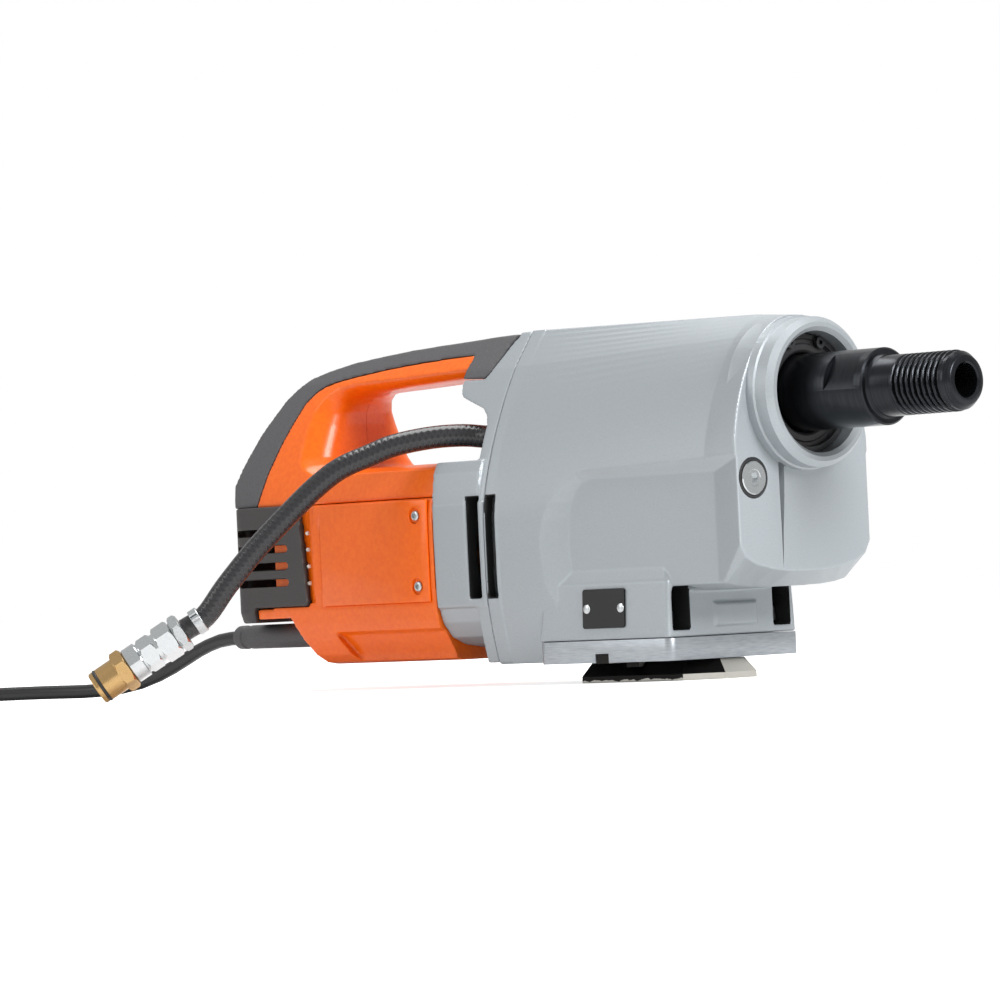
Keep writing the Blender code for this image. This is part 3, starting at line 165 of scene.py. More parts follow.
def smooth_path(points, spacing):
    """Points about every spacing along a smooth curve through the given ones."""
    chain = [2 * points[0] - points[1], *points, 2 * points[-1] - points[-2]]
    path = []
    for a, b, c, d in zip(chain, chain[1:], chain[2:], chain[3:]):
        steps = max(1, round((c - b).length / spacing))
        for k in range(steps):
            t = k / steps
            bend = 2 * a - 5 * b + 4 * c - d
            swing = 3 * b - a - 3 * c + d
            path.append(0.5 * (2 * b + (c - a) * t + bend * t**2 + swing * t**3))
    return [*path, points[-1]]


def cord_curve(name, path, diameter, sides):
    """A round tube along the path, as a curve of one open spline."""
    curve = bpy.data.curves.new(name, "CURVE")
    curve.dimensions = "3D"
    curve.bevel_depth = diameter / 2 * MM
    curve.bevel_resolution = sides
    curve.use_fill_caps = True
    spline = curve.splines.new("POLY")
    spline.points.add(len(path) - 1)
    for point, place in zip(spline.points, path):
        point.co = (*(place * MM), 1.0)
    spline.use_smooth = True
    piece = bpy.data.objects.new(name, curve)
    scene.collection.objects.link(piece)
    return piece


SLEEVE_AXIS = (-25.0, 32.0)
sleeve_end = Vector((-319.3, *SLEEVE_AXIS))
outer_row = COIL_MIDDLE_RADIUS + COIL_ROWS * LEAD_DIAMETER / 2
COIL_CLEARANCE = 0.3
touching = outer_row + LEAD_DIAMETER / 2 + COIL_CLEARANCE
arrival = Vector((COIL_CENTRE.x - 6, COIL_CENTRE.y - touching, LEAD_FLOOR))
run = smooth_path(
    [
        Vector(place)
        for place in (
            sleeve_end, (-338, -25, 30.5), (-358, -25, 25), (-380, -26, 16), (-404, -30, 8),
            (-430, -40, LEAD_FLOOR), (-465, -56, LEAD_FLOOR), (-505, -78, LEAD_FLOOR),
            (-550, -100, LEAD_FLOOR), (-600, -114, LEAD_FLOOR), (-640, -117, LEAD_FLOOR), arrival,
        )
    ],
    12,
)


def coil_row(turn):
    """Radius and height of the coil's numbered turn: rows fill inwards, then outwards one layer up."""
    layer, place = divmod(turn, COIL_ROWS)
    steps = place if layer % 2 == 0 else COIL_ROWS - 1 - place
    return outer_row - LEAD_DIAMETER * (steps + 0.5), LEAD_FLOOR + LEAD_DIAMETER * layer


start_angle = math.atan2(arrival.y - COIL_CENTRE.y, arrival.x - COIL_CENTRE.x)
swept = 2 * math.pi * COIL_TURNS + start_angle + math.pi
points_per_turn = 28
count = round(swept / (2 * math.pi) * points_per_turn)
coil = []
for i in range(1, count + 1):
    turns = i / points_per_turn
    turn = int(turns)
    radius, height = coil_row(turn)
    change = min(1.0, (turns - turn) / 0.25)
    change = change * change * (3 - 2 * change)
    before = (touching, LEAD_FLOOR) if turn == 0 else coil_row(turn - 1)
    radius = before[0] + (radius - before[0]) * change
    height = before[1] + (height - before[1]) * change
    angle = start_angle - i * swept / count
    x = COIL_CENTRE.x + radius * math.cos(angle)
    y = COIL_CENTRE.y + radius * math.sin(angle)
    coil.append(Vector((x, y, height)))

plug_start, plug_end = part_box("power_plug")
PLUG_AXIS = Vector(((plug_start.x + plug_end.x) / 2, plug_start.y, (plug_start.z + plug_end.z) / 2)) / MM
tail_reach = PLUG_AXIS.y - coil[-1].y
tail = smooth_path(
    [
        coil[-1],
        Vector((coil[-1].x, coil[-1].y + 0.25 * tail_reach, coil[-1].z - 1)),
        Vector((PLUG_AXIS.x, PLUG_AXIS.y - 0.28 * tail_reach, PLUG_AXIS.z + 1)),
        PLUG_AXIS - Vector((0, 0.5, 0)),
    ],
    5,
)
lead_path = run + coil + tail[1:]
lead = cord_curve("mains_lead", lead_path, LEAD_DIAMETER, 4)


def new_material(name, **sockets):
    """A Principled material with these sockets set. Returns it, its tree and its shader."""
    made = bpy.data.materials.new(name)
    made.use_nodes = True
    principled = made.node_tree.nodes["Principled BSDF"]
    for socket, value in sockets.items():
        value = linear(value) if isinstance(value, str) else value
        principled.inputs[socket.replace("_", " ")].default_value = value
    return made, made.node_tree, principled


def grain(tree, shader, size, depth, strength, detail=3.0):
    """A bump of noise whose grains are size millimetres across and depth deep. Returns the noise."""
    place = add_node(tree, "ShaderNodeTexCoord")
    settings = {"Scale": 1 / (size * MM), "Detail": detail, "Roughness": 0.6}
    noise = add_node(tree, "ShaderNodeTexNoise", settings, {"Vector": place.outputs["Object"]})
    bump = add_node(tree, "ShaderNodeBump", {"Strength": strength, "Distance": depth * MM},
                    {"Height": noise.outputs["Fac"]})
    tree.links.new(bump.outputs["Normal"], shader.inputs["Normal"])
    return noise


def two_tones(tree, shader, factor, low, high, start=0.35, end=0.65):
    """The base colour runs from low to high as factor goes from start to end."""
    ramp = add_node(tree, "ShaderNodeValToRGB", {}, {0: factor})
    ramp.color_ramp.elements[0].position = start
    ramp.color_ramp.elements[0].color = linear(low)
    ramp.color_ramp.elements[1].position = end
    ramp.color_ramp.elements[1].color = linear(high)
    tree.links.new(ramp.outputs["Color"], shader.inputs["Base Color"])


def speckled(name, low, high, grains, **sockets):
    """A finish in two near tones; its grains have a size and depth in millimetres and a strength."""
    made, tree, shader = new_material(name, **sockets)
    noise = grain(tree, shader, *grains)
    two_tones(tree, shader, noise.outputs["Fac"], low, high)
    return made


# Extruded rubber sheath: near black, with the half gloss of a wiped cable and faint drag marks.
rubber_sheath = speckled("extruded_rubber", "#0d0d0e", "#151516", (0.9, 0.06, 0.15), Roughness=0.33)

# Moulded PVC plug body: smooth and black, with a slight sheen.
plug_pvc = speckled("moulded_pvc", "#1a1a1b", "#242426", (0.7, 0.05, 0.2), Roughness=0.42)


def finish(piece, material, body, slot, *nodes):
    """Gives a piece its material and its body, and hides the CAD nodes that it stands for. The slot is not
    used.
    """
    piece.data.materials.clear()
    piece.data.materials.append(material)
    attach(piece, body)
    if nodes:
        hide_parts(*nodes)
    return piece


def turned(name, profile, centre=(0, 0), steps=96):
    """Spins a closed (x, radius) profile about an X-parallel line through centre (y, z)."""
    bpy.ops.object.select_all(action="DESELECT")
    bpy.ops.mesh.primitive_circle_add(vertices=len(profile), fill_type="NOTHING")
    piece = bpy.context.object
    piece.name = name
    for vertex, (x, radius) in zip(piece.data.vertices, profile):
        vertex.co = Vector((x, centre[0], centre[1] + radius)) * MM
    bpy.ops.object.mode_set(mode="EDIT")
    bpy.ops.mesh.select_all(action="SELECT")
    middle = Vector((0, *centre)) * MM
    bpy.ops.mesh.spin(steps=steps, angle=2 * math.pi, center=middle, axis=(1, 0, 0))
    bpy.ops.mesh.select_all(action="SELECT")
    bpy.ops.mesh.remove_doubles(threshold=1e-6)
    bpy.ops.mesh.normals_make_consistent(inside=False)
    bpy.ops.object.mode_set(mode="OBJECT")
    bpy.ops.object.shade_smooth_by_angle(angle=math.radians(30))
    return piece


def aim(piece, start, direction):
    """Turns a piece made along +X from the origin to direction and puts it at start."""
    turn = Vector((1, 0, 0)).rotation_difference(Vector(direction).normalized()).to_matrix().to_4x4()
    piece.data.transform(Matrix.Translation(Vector(start) * MM) @ turn)
    return piece


def combine(piece, tool, operation="DIFFERENCE"):
    """Cuts tool from piece, joins it or keeps what both hold, and removes the tool."""
    modifier = piece.modifiers.new("Boolean", "BOOLEAN")
    modifier.operation = operation
    modifier.solver = "MANIFOLD"
    modifier.object = tool
    bpy.context.view_layer.objects.active = piece
    bpy.ops.object.modifier_apply(modifier=modifier.name)
    bpy.data.objects.remove(tool)
    return piece


def rod(name, radius, low, high, centre=(0, 0), steps=64):
    """A plain turned bar along X, for cutting a round hole or for a pin."""
    return turned(name, [(low, 0), (low, radius), (high, radius), (high, 0)], centre, steps)


plug = turned(
    "mains_plug",
    [(0, 4.1), (0, 6.0), (1, 6.6), (4, 6.6), (5, 5.6), (7, 5.6), (8, 6.7), (11, 6.7), (12, 5.8), (14, 5.8),
     (15, 6.9), (18, 7.0), (22, 8.2), (25, 12.5), (28, 16.2), (31, 17.8), (33, 18.2), (47, 18.3), (49, 17.8),
     (50, 16.8), (50, 15.5), (38, 15.0), (38, 0), (3, 0), (3, 4.1)],
)
PIN_OFFSET = 9.5
for side in (-1, 1):
    combine(plug, rod("pin_root", 3.2, 30, 42, (0, side * PIN_OFFSET), 32), "UNION")
aim(plug, PLUG_AXIS, (0, 1, 0))
finish(plug, plug_pvc, "machine", "rubber", "power_plug")

# Nickel-plated plug pins: bright and slightly warm.
nickel, tree, shader = new_material("nickel_plate", Base_Color="#c9c6bd", Metallic=1.0, Roughness=0.25)
grain(tree, shader, 0.5, 0.01, 0.15)
pin_profile = [(42.2, 0), (42.2, 2.4), (67, 2.4), (68.5, 1.8), (69, 0)]
for side in (-1, 1):
    pin = turned(f"plug_pin_{side}", pin_profile, (0, side * PIN_OFFSET), 32)
    aim(pin, PLUG_AXIS, (0, 1, 0))
    finish(pin, nickel, "machine", "steel")

lead.data.materials.append(rubber_sheath)
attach(lead, "machine")
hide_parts("power_cord", "cord_coil")

# Bend sleeve: soft moulded PVC, grey-black, thickest where the housing grips it.
sleeve_grey = speckled("soft_pvc", "#434244", "#4c4b4d", (0.8, 0.06, 0.3), Roughness=0.6)
sleeve = turned(
    "bend_sleeve",
    [(-319.2, 4.2), (-319.2, 6.2), (-318.2, 6.7), (-313, 6.8), (-312, 6.2), (-309, 6.2), (-308, 6.8),
     (-246, 7.0), (-224, 7.0), (-224, 0), (-314, 0), (-314, 4.2)],
    SLEEVE_AXIS,
)
finish(sleeve, sleeve_grey, "machine", "rubber", "strain_relief")


# ---- Water hose ----------------------------------------------------------------------------
# Braided rubber hose, 12.5 mm across. It leaves its inlet behind the flange, arcs out past the
# handle and comes down to its quick coupling, which rests on the floor.

HOSE_DIAMETER = 12.5
COUPLING_AXIS = Vector((-0.590, -0.618, -0.520)).normalized()
HOSE_END = Vector((-232.0, -142.5, 38.4))
INLET_AXIS = (-22.0, 137.0)
hose_route = [
    Vector(place)
    for place in (
        (-103, *INLET_AXIS), (-111, -22.3, 137.2), (-122, -28, 138.6), (-134, -40.5, 138.2),
        (-148, -55.5, 135), (-158, -65.7, 130), (-169.5, -77.8, 123.5), (-179.5, -88, 113.5),
        (-191, -100.5, 98), (-203.5, -113.2, 80.5), (-215, -125.2, 61.5),
        tuple(HOSE_END - 14 * COUPLING_AXIS), tuple(HOSE_END),
    )
]
hose_path = smooth_path(hose_route, 4)
hose = cord_curve("water_hose_line", hose_path, HOSE_DIAMETER, 10)
bpy.ops.object.select_all(action="DESELECT")
hose.select_set(True)
bpy.context.view_layer.objects.active = hose
bpy.ops.object.convert(target="MESH")
hose = bpy.context.object
bpy.ops.object.mode_set(mode="EDIT")
bpy.ops.mesh.select_all(action="SELECT")
bpy.ops.mesh.remove_doubles(threshold=1e-6)
bpy.ops.mesh.normals_make_consistent(inside=False)
bpy.ops.object.mode_set(mode="OBJECT")
bpy.ops.object.shade_smooth_by_angle(angle=math.radians(50))

# Each point's place along and round the hose, which the braid's imprint follows.
along = hose.data.attributes.new("along", "FLOAT", "POINT")
twist = hose.data.attributes.new("around", "FLOAT_VECTOR", "POINT")
stations = [0.0]
for a, b in zip(hose_path, hose_path[1:]):
    stations.append(stations[-1] + (b - a).length)
for i, vertex in enumerate(hose.data.vertices):
    place = vertex.co / MM
    nearest = min(range(len(hose_path)), key=lambda k: (hose_path[k] - place).length_squared)
    ahead = hose_path[min(nearest + 1, len(hose_path) - 1)]
    forward = (ahead - hose_path[max(nearest - 1, 0)]).normalized()
    side = forward.cross(Vector((0, 0, 1))).normalized()
    over = side.cross(forward)
    offset = place - hose_path[nearest]
    along.data[i].value = stations[nearest] + offset.dot(forward)
    twist.data[i].vector = (offset.dot(side), offset.dot(over), 0)

# Synthetic rubber cured in cloth: dark grey with a soft gloss and the wrap's fine slanting ridges.
hose_rubber, tree, shader = new_material("cloth_cured_rubber", Roughness=0.24)
RIDGE_PITCH = 3.4
run_along = add_node(tree, "ShaderNodeAttribute", {"attribute_name": "along"})
round_it = add_node(tree, "ShaderNodeAttribute", {"attribute_name": "around"})
parts = add_node(tree, "ShaderNodeSeparateXYZ", {}, {0: round_it.outputs["Vector"]})
angle = add_node(tree, "ShaderNodeMath", {"operation": "ARCTAN2"},
                 {0: parts.outputs["Y"], 1: parts.outputs["X"]})
RIDGES_ROUND = 7
waves = []
for starts in (RIDGES_ROUND, -RIDGES_ROUND):
    slope = add_node(tree, "ShaderNodeMath", {"operation": "MULTIPLY", 1: starts}, {0: angle.outputs[0]})
    phase = add_node(tree, "ShaderNodeMath", {"operation": "MULTIPLY_ADD", 1: 2 * math.pi / RIDGE_PITCH},
                     {0: run_along.outputs["Fac"], 2: slope.outputs[0]})
    waves.append(add_node(tree, "ShaderNodeMath", {"operation": "SINE"}, {0: phase.outputs[0]}))
weave = add_node(tree, "ShaderNodeMath", {"operation": "MAXIMUM"},
                 {0: waves[0].outputs[0], 1: waves[1].outputs[0]})
bump = add_node(tree, "ShaderNodeBump", {"Strength": 0.22, "Distance": 0.3 * MM},
                {"Height": weave.outputs[0]})
tree.links.new(bump.outputs["Normal"], shader.inputs["Normal"])
two_tones(tree, shader, weave.outputs[0], "#1f1f21", "#29292b", 0.0, 1.0)
finish(hose, hose_rubber, "machine", "rubber", "water_hose")

# Zinc-plated steel: pale grey with a soft brushed shine.
zinc = speckled("zinc_plate", "#aeb2b4", "#c6cacb", (0.6, 0.02, 0.2), Metallic=1.0, Roughness=0.30)

# Turned brass: yellow with fine tool rings.
brass = speckled("turned_brass", "#b79460", "#c9a877", (0.5, 0.03, 0.25), Metallic=1.0, Roughness=0.26)


def hexagon(name, across, low, high):
    """A hexagonal bar along X with turned-down corners."""
    corner = across / math.sqrt(3)
    piece = turned(name, [(low, 0), (low, corner), (high, corner), (high, 0)], steps=6)
    turn = [(low, 0), (low, across / 2 + 0.2), (low + 1.2, corner + 0.1), (high - 1.2, corner + 0.1),
            (high, across / 2 + 0.2), (high, 0)]
    return combine(piece, turned("chamfer", turn, steps=64), "INTERSECT")


def shade(piece, degrees=32):
    """Smooth shading, with every edge that turns by more than degrees left sharp."""
    piece.data.shade_smooth()
    piece.data.set_sharp_from_angle(angle=math.radians(degrees))
    return piece


# An ear clamp round the hose: a thin band with its two pinched ears.
clamp_band = [(-11.5, 6.6), (-11.5, 7.2), (-11.2, 7.4), (-6.8, 7.4), (-6.5, 7.2), (-6.5, 6.6)]
clamp = turned("ear_clamp", clamp_band)
for lean in (-1, 1):
    ear = rod("ear", 1.4, -11.2, -6.8, (lean * 1.5, 8.5), 24)
    combine(clamp, ear, "UNION")
nut = hexagon("hose_nut", 19.0, 0.3, 5.4)
combine(nut, turned("collar", [(5, 0), (5, 8.4), (5.9, 8.4), (6.1, 8.2), (6.1, 0)]), "UNION")
for piece, slot, node in ((clamp, "steel", "hose_clamp"), (nut, "steel", "coupling_nut")):
    aim(piece, HOSE_END, COUPLING_AXIS)
    finish(piece, zinc, "machine", slot, node)
    shade(piece, 30)

# Polished chrome plate on the coupling's body.
chrome = speckled("chrome_plate", "#c4c8ca", "#cfd2d3", (0.8, 0.01, 0.08), Metallic=1.0, Roughness=0.12)
coupling = hexagon("coupling_sleeve", 18.8, 6.4, 16.4)
combine(coupling, turned("waist", [(16, 0), (16, 8.6), (18.8, 8.6), (18.8, 0)]), "UNION")
combine(coupling, hexagon("grip_hexagon", 17.6, 18.4, 26.8), "UNION")
locking_ring = [(26.4, 0), (26.4, 8.8), (27.6, 8.8), (28.2, 10.2), (35.4, 10.2), (36, 9.6), (36, 0)]
combine(coupling, turned("locking_ring", locking_ring), "UNION")
shade(coupling, 30)
aim(coupling, HOSE_END, COUPLING_AXIS)
finish(coupling, chrome, "machine", "steel", "coupling_body")

nipple = hexagon("brass_nipple", 21.0, 36.3, 43.0)
spigot = [(42.5, 0), (42.5, 9.6), (53.5, 9.6), (53.5, 7.6), (55.5, 7.6), (55.5, 9.4), (57.4, 9.4), (58, 8.8),
          (58, 0)]
combine(nipple, turned("spigot", spigot), "UNION")
aim(nipple, HOSE_END, COUPLING_AXIS)
finish(nipple, brass, "machine", "brass", "coupling_nipple")
shade(nipple, 30)

seal_profile = [(53.7, 7.7), (53.7, 9.4), (54.1, 9.8), (54.9, 9.8), (55.3, 9.4), (55.3, 7.7)]
nipple_seal = turned("nipple_seal", seal_profile, steps=64)
aim(nipple_seal, HOSE_END, COUPLING_AXIS)
finish(nipple_seal, plug_pvc, "machine", "rubber")

inlet = turned(
    "hose_inlet",
    [(-102.7, 0), (-102.7, 7.4), (-102, 8.2), (-97.5, 8.2), (-97.5, 7.2), (-95.4, 7.2), (-95.4, 4.6),
     (-86.1, 4.6), (-86.1, 0)],
    INLET_AXIS,
)
finish(inlet, zinc, "machine", "brass", "water_inlet")


# ---- Gearbox casting -----------------------------------------------------------------------
# Pressure die-cast aluminium, painted silver. A pointed-arch hull swells into a round nose with a
# turned spindle ring, and a recessed lower flank stands on a foot with two bolt windows.

SPINDLE_AXIS = (0.0, 148.5)
MOTOR_AXIS = (0.0, 72.0)
LAYSHAFT_AXIS = (-14.0, 109.83)
MIDDLE_AXIS = (18.1, 93.53)
OIL_PLUG_AXIS = (-38.0, 104.7)
KNOB_X = 70.0
low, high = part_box("selector_knob")
KNOB_Z = (low.z + high.z) / 2 / MM
FRONT_BOLTS = ((35.5, -39.5), (35.5, 39.5))
REAR_BOLT = (-38, 0)
BOLT_HOLE_RADIUS = 4.3
VENT_LOW, VENT_HIGH = 48.5, 104.0


def arc(points, steps):
    """A cubic Bezier curve through its end points."""
    result = []
    for i in range(steps + 1):
        t = i / steps
        weights = ((1 - t) ** 3, 3 * t * (1 - t) ** 2, 3 * t * t * (1 - t), t**3)
        result.append(tuple(sum(w * p[k] for w, p in zip(weights, points)) for k in (0, 1)))
    return result


def faceted(crown):
    """The crown with its first quarter, beside the crest, drawn straight."""
    share = len(crown) // 4
    (y0, z0), (y1, z1) = crown[0], crown[share]
    straight = [(y0 + (y1 - y0) * k / share, z0 + (z1 - z0) * k / share) for k in range(share)]
    return straight + crown[share:]


def flank(inset=0.0, steps=24):
    """The right half of the body's pointed-arch section from its crest down, as (y, z)."""
    half = 50.6 - inset
    crest = (6 - inset * 0.5, 194 - inset)
    crown = faceted(arc([crest, (24 - inset, 176 - inset), (half, 118), (half, 88)], steps))
    belly = arc([(half, 62), (half - 0.1, 42), (half - 3.6, 28), (half - 7.6, 12)], 8)
    return crown + belly


def half_width(z, inset=0.0):
    curve = flank(inset)
    for (y0, z0), (y1, z1) in zip(curve, curve[1:]):
        if z1 <= z <= z0:
            return y0 + (y1 - y0) * (z0 - z) / max(1e-6, z0 - z1)
    return curve[0][0] if z > curve[0][1] else curve[-1][0]


def arch(low, high, inset=0.0):
    """The closed body section between two heights."""
    inside = [(y, z) for y, z in flank(inset) if low + 0.4 < z < high - 0.4]
    half = [(half_width(high, inset), high), *inside, (half_width(low, inset), low)]
    return half + [(-y, z) for y, z in reversed(half)]


def skin(name, rings):
    """A closed skin through rings of equal point counts, capped at both ends."""
    size = len(rings[0])
    faces = [
        (k * size + i, k * size + (i + 1) % size, (k + 1) * size + (i + 1) % size, (k + 1) * size + i)
        for k in range(len(rings) - 1)
        for i in range(size)
    ]
    last = (len(rings) - 1) * size
    faces += [tuple(range(size))[::-1], tuple(range(last, last + size))]
    mesh = bpy.data.meshes.new(name)
    mesh.from_pydata([Vector(point) * MM for ring in rings for point in ring], [], faces)
    piece = bpy.data.objects.new(name, mesh)
    scene.collection.objects.link(piece)
    bpy.ops.object.select_all(action="DESELECT")
    piece.select_set(True)
    bpy.context.view_layer.objects.active = piece
    bpy.ops.object.mode_set(mode="EDIT")
    bpy.ops.mesh.select_all(action="SELECT")
    bpy.ops.mesh.normals_make_consistent(inside=False)
    bpy.ops.object.mode_set(mode="OBJECT")
    return piece


def loft(name, sections, axis="x"):
    """A skin through outlines, each at its place along the axis."""
    places = {"x": lambda a, u, v: (a, u, v), "y": lambda a, u, v: (u, a, v), "z": lambda a, u, v: (u, v, a)}
    return skin(name, [[places[axis](a, u, v) for u, v in outline] for a, outline in sections])


def slab(name, outline, axis, low, high):
    """A filled outline, extruded along the axis from low to high."""
    bpy.ops.object.select_all(action="DESELECT")
    bpy.ops.mesh.primitive_circle_add(vertices=len(outline), fill_type="NGON")
    piece = bpy.context.object
    piece.name = name
    places = {"x": lambda u, v: (low, u, v), "y": lambda u, v: (u, low, v), "z": lambda u, v: (u, v, low)}
    for vertex, (u, v) in zip(piece.data.vertices, outline):
        vertex.co = Vector(places[axis](u, v)) * MM
    bpy.ops.object.mode_set(mode="EDIT")
    bpy.ops.mesh.select_all(action="SELECT")
    reach = [(high - low) * MM if letter == axis else 0 for letter in "xyz"]
    bpy.ops.mesh.extrude_region_move(TRANSFORM_OT_translate={"value": reach})
    bpy.ops.mesh.select_all(action="SELECT")
    bpy.ops.mesh.normals_make_consistent(inside=False)
    bpy.ops.object.mode_set(mode="OBJECT")
    return piece


def block(name, low, high):
    outline = [(low[1], low[2]), (high[1], low[2]), (high[1], high[2]), (low[1], high[2])]
    return slab(name, outline, "x", low[0], high[0])


def soften(piece, grain_size, passes, keep=1.0):
    """Remakes a cast or moulded piece in small even facets and eases its edges, as its mould does.

    Then it thins the facets to that share of their number.
    """
    bpy.context.view_layer.objects.active = piece
    modifier = piece.modifiers.new("Remesh", "REMESH")
    modifier.mode = "VOXEL"
    modifier.voxel_size = grain_size * MM
    modifier.use_smooth_shade = True
    bpy.ops.object.modifier_apply(modifier=modifier.name)
    modifier = piece.modifiers.new("Smooth", "SMOOTH")
    modifier.factor = 0.5
    modifier.iterations = passes
    bpy.ops.object.modifier_apply(modifier=modifier.name)
    if keep < 1:
        modifier = piece.modifiers.new("Decimate", "DECIMATE")
        modifier.ratio = keep
        bpy.ops.object.modifier_apply(modifier=modifier.name)
    return piece


def hull_section(share, lower):
    """The hull's section with that share of the round nose in its crown, over the lower right points."""
    tail = flank()[:25]
    nose = arc([(6.0, 189.8), (31.0, 186.5), (47.0, 156.0), (51.0, 124.0)], 24)
    crown = [tuple(a + (b - a) * share for a, b in zip(p, q)) for p, q in zip(tail, nose)]
    half = crown + lower
    return half + [(-y, z) for y, z in reversed(half)]


TAIL_LOW = [(50.6, 76), (50.4, 64), (50, 54), (47, 52), (40, 51.4), (28, 51), (14, 51)]
CHIN_LOW = [(51, 86), (50.6, 68), (49.5, 55), (45.5, 50.5), (38, 49), (27, 48), (13, 47.6)]
NOSE_LOW = [(51.4, 92), (51.3, 80), (50.2, 70.5), (46.0, 63.5), (38, 59.6), (26, 56.8), (12, 55.2)]
CASE_REAR, CASE_FRONT = -86, 105.5
hull = loft(
    "gearbox_casting",
    [(CASE_REAR, hull_section(0, TAIL_LOW)), (50, hull_section(0.48, CHIN_LOW)),
     (82, hull_section(0.60, CHIN_LOW)), (90, hull_section(0.74, CHIN_LOW)),
     (CASE_FRONT, hull_section(1.0, NOSE_LOW))],
)
rim = slab("rim", arch(13, 194.0, -0.25), "x", CASE_REAR, -76)
combine(hull, rim, "UNION")
for side in (-1, 1):
    outer = [(-30.5, 20), (-32, 28.7), (-40, 43), (-44.3, 56), (-45, 66), (-44.5, 78), (-42, 89), (-37.5, 99),
             (-32, 106.5), (-25, 112.5), (-18, 116), (-10, 117.5), (95, 117.5), (110, 117.5), (110, 20)]
    inner = [(-29.5, 20), (-30.8, 28.2), (-23.5, 48), (-24, 56), (-25, 64), (-25.5, 72), (-25.5, 80),
             (-24.5, 90), (-22, 98), (-18, 104), (-13, 108), (-7, 109.5), (84.5, 109.5), (84.6, 109.5),
             (84.6, 20)]
    combine(hull, loft("flank_recess", [(side * 45.5, inner), (side * 51.2, outer), (side * 70, outer)], "y"))
combine(hull, slab("tail_skirt", arch(12, 70, 0.2), "x", CASE_REAR, -48.4), "UNION")
heel = slab("heel", arch(24, 70, 0.2), "x", -60, -20)
for side in (-1, 1):
    outer = [(-31.5, 10), (-32, 28.7), (-40, 43), (-44.3, 56), (-45, 80), (0, 80), (0, 10)]
    inner = [(-29.5, 10), (-30.8, 28.2), (-23.5, 48), (-24, 56), (-25.5, 80), (0, 80), (0, 10)]
    combine(heel, loft("heel_recess", [(side * 45.5, inner), (side * 51.2, outer), (side * 70, outer)], "y"))
combine(hull, heel, "UNION")


def rounded(x0, x1, half, radius, steps=6):
    """A plan outline from x0 to x1, half wide each side, with rounded corners at the x1 end."""
    front = [
        (x1 - radius + radius * math.sin(t), half - radius + radius * math.cos(t))
        for t in (math.pi / 2 * k / steps for k in range(steps + 1))
    ]
    return [(x0, half), *front, *[(x, -y) for x, y in reversed(front)], (x0, -half)]


foot = loft(
    "foot",
    [(23.3, rounded(-48.4, 49.6, 49.6, 2.5)), (30, rounded(-46, 49.5, 49.4, 2.5)),
     (53, rounded(-42, 49.2, 48.2, 2.5)), (54.2, rounded(-42, 48.6, 47.6, 2.5)),
     (61, rounded(-40, 46.0, 45.3, 2.5)), (66, rounded(-40, 45.0, 44.8, 2.5))],
    "z",
)
combine(hull, foot, "UNION")
pad = loft(
    "front_pad",
    [(47, [(-15, 27.5), (19, 27.5), (19, 41), (-15, 41)]),
     (49.4, [(-15, 27.5), (19, 27.5), (19, 41), (-15, 41)]),
     (50.9, [(-12.5, 29), (17.5, 29), (17.5, 39.8), (-12.5, 39.8)])],
)
combine(hull, pad, "UNION")
for side in (-1, 1):
    head = arc([(side * 45.4, 44), (side * 45.4, 50), (side * 43, 52.5), (side * 38, 52.5)], 5)
    outline = [(side * 32, 27), (side * 45.4, 27), *head, (side * 32, 50)]
    combine(hull, slab("bolt_window", outline, "x", 6, 60))
combine(hull, block("vent", (-85.1, -60, VENT_LOW), (-77.5, 60, VENT_HIGH)))
soften(hull, 0.7, 1, 0.3)

ring = turned(
    "spindle_ring",
    [(92, 0), (92, 40.6), (110.4, 40.6), (111.2, 39.6), (118.6, 39.6), (121.7, 36.6), (121.7, 34.2),
     (119.6, 32.0), (119.6, 0)],
    SPINDLE_AXIS, 192,
)
combine(hull, ring, "UNION")
for tool in (
    slab("rear_chamber", arch(26, 156, 5.5), "x", -90, -68),
    slab("gear_chamber", arch(62, 156, 5.5), "x", -69, -44),
    block("layshaft_bay", (-45, -37, 86), (49, 8, 133)),
    rod("wheel_bay", 29.2, -56, -44, LAYSHAFT_AXIS),
    rod("high_bay", 28.0, 3, 20.2, SPINDLE_AXIS),
    rod("mid_bay", 31.5, 19, 33.3, SPINDLE_AXIS),
    rod("low_bay", 34.0, 32, 49, SPINDLE_AXIS),
    rod("spindle_bore", 32.0, 48, 125, SPINDLE_AXIS, 192),
    rod("rear_seat", 26.3, -12.3, 4, SPINDLE_AXIS),
    rod("swivel_bay", 16.0, -50, -11, SPINDLE_AXIS),
    rod("middle_seat", 3.8, -45, -37.7, MIDDLE_AXIS),
    rod("layshaft_seat", 6.3, 48, 58, LAYSHAFT_AXIS),
    block("shift_bay", (57, -23, 81), (102, -5, 113.5)),
    rod("plug_seat", 10.9, 103.4, 110, OIL_PLUG_AXIS, 96),
    loft(
        "nose_groove",
        [(102.2, [(-18.1, 58), (-17.2, 76), (-15.6, 95), (-14.6, 116), (-18.2, 116)]),
         (107, [(-18.1, 56), (-16.6, 76), (-14.6, 95), (-13.4, 117), (-18.8, 117)])],
    ),
):
    combine(hull, tool)
combine(hull, aim(rod("selector_hole", 4.3, -6, 60), (KNOB_X, 0, KNOB_Z), (0, 1, 0)))


def bolt_hole(piece, spot, low, depth):
    """Drills a bolt's clearance hole at spot (x, y), upwards from low."""
    hole = rod("bolt_hole", BOLT_HOLE_RADIUS, 0, depth, steps=32)
    combine(piece, aim(hole, (*spot, low), (0, 0, 1)))


for spot in FRONT_BOLTS:
    bolt_hole(hull, spot, 20, 12)
bolt_hole(hull, REAR_BOLT, 21, 17)
shade(hull)

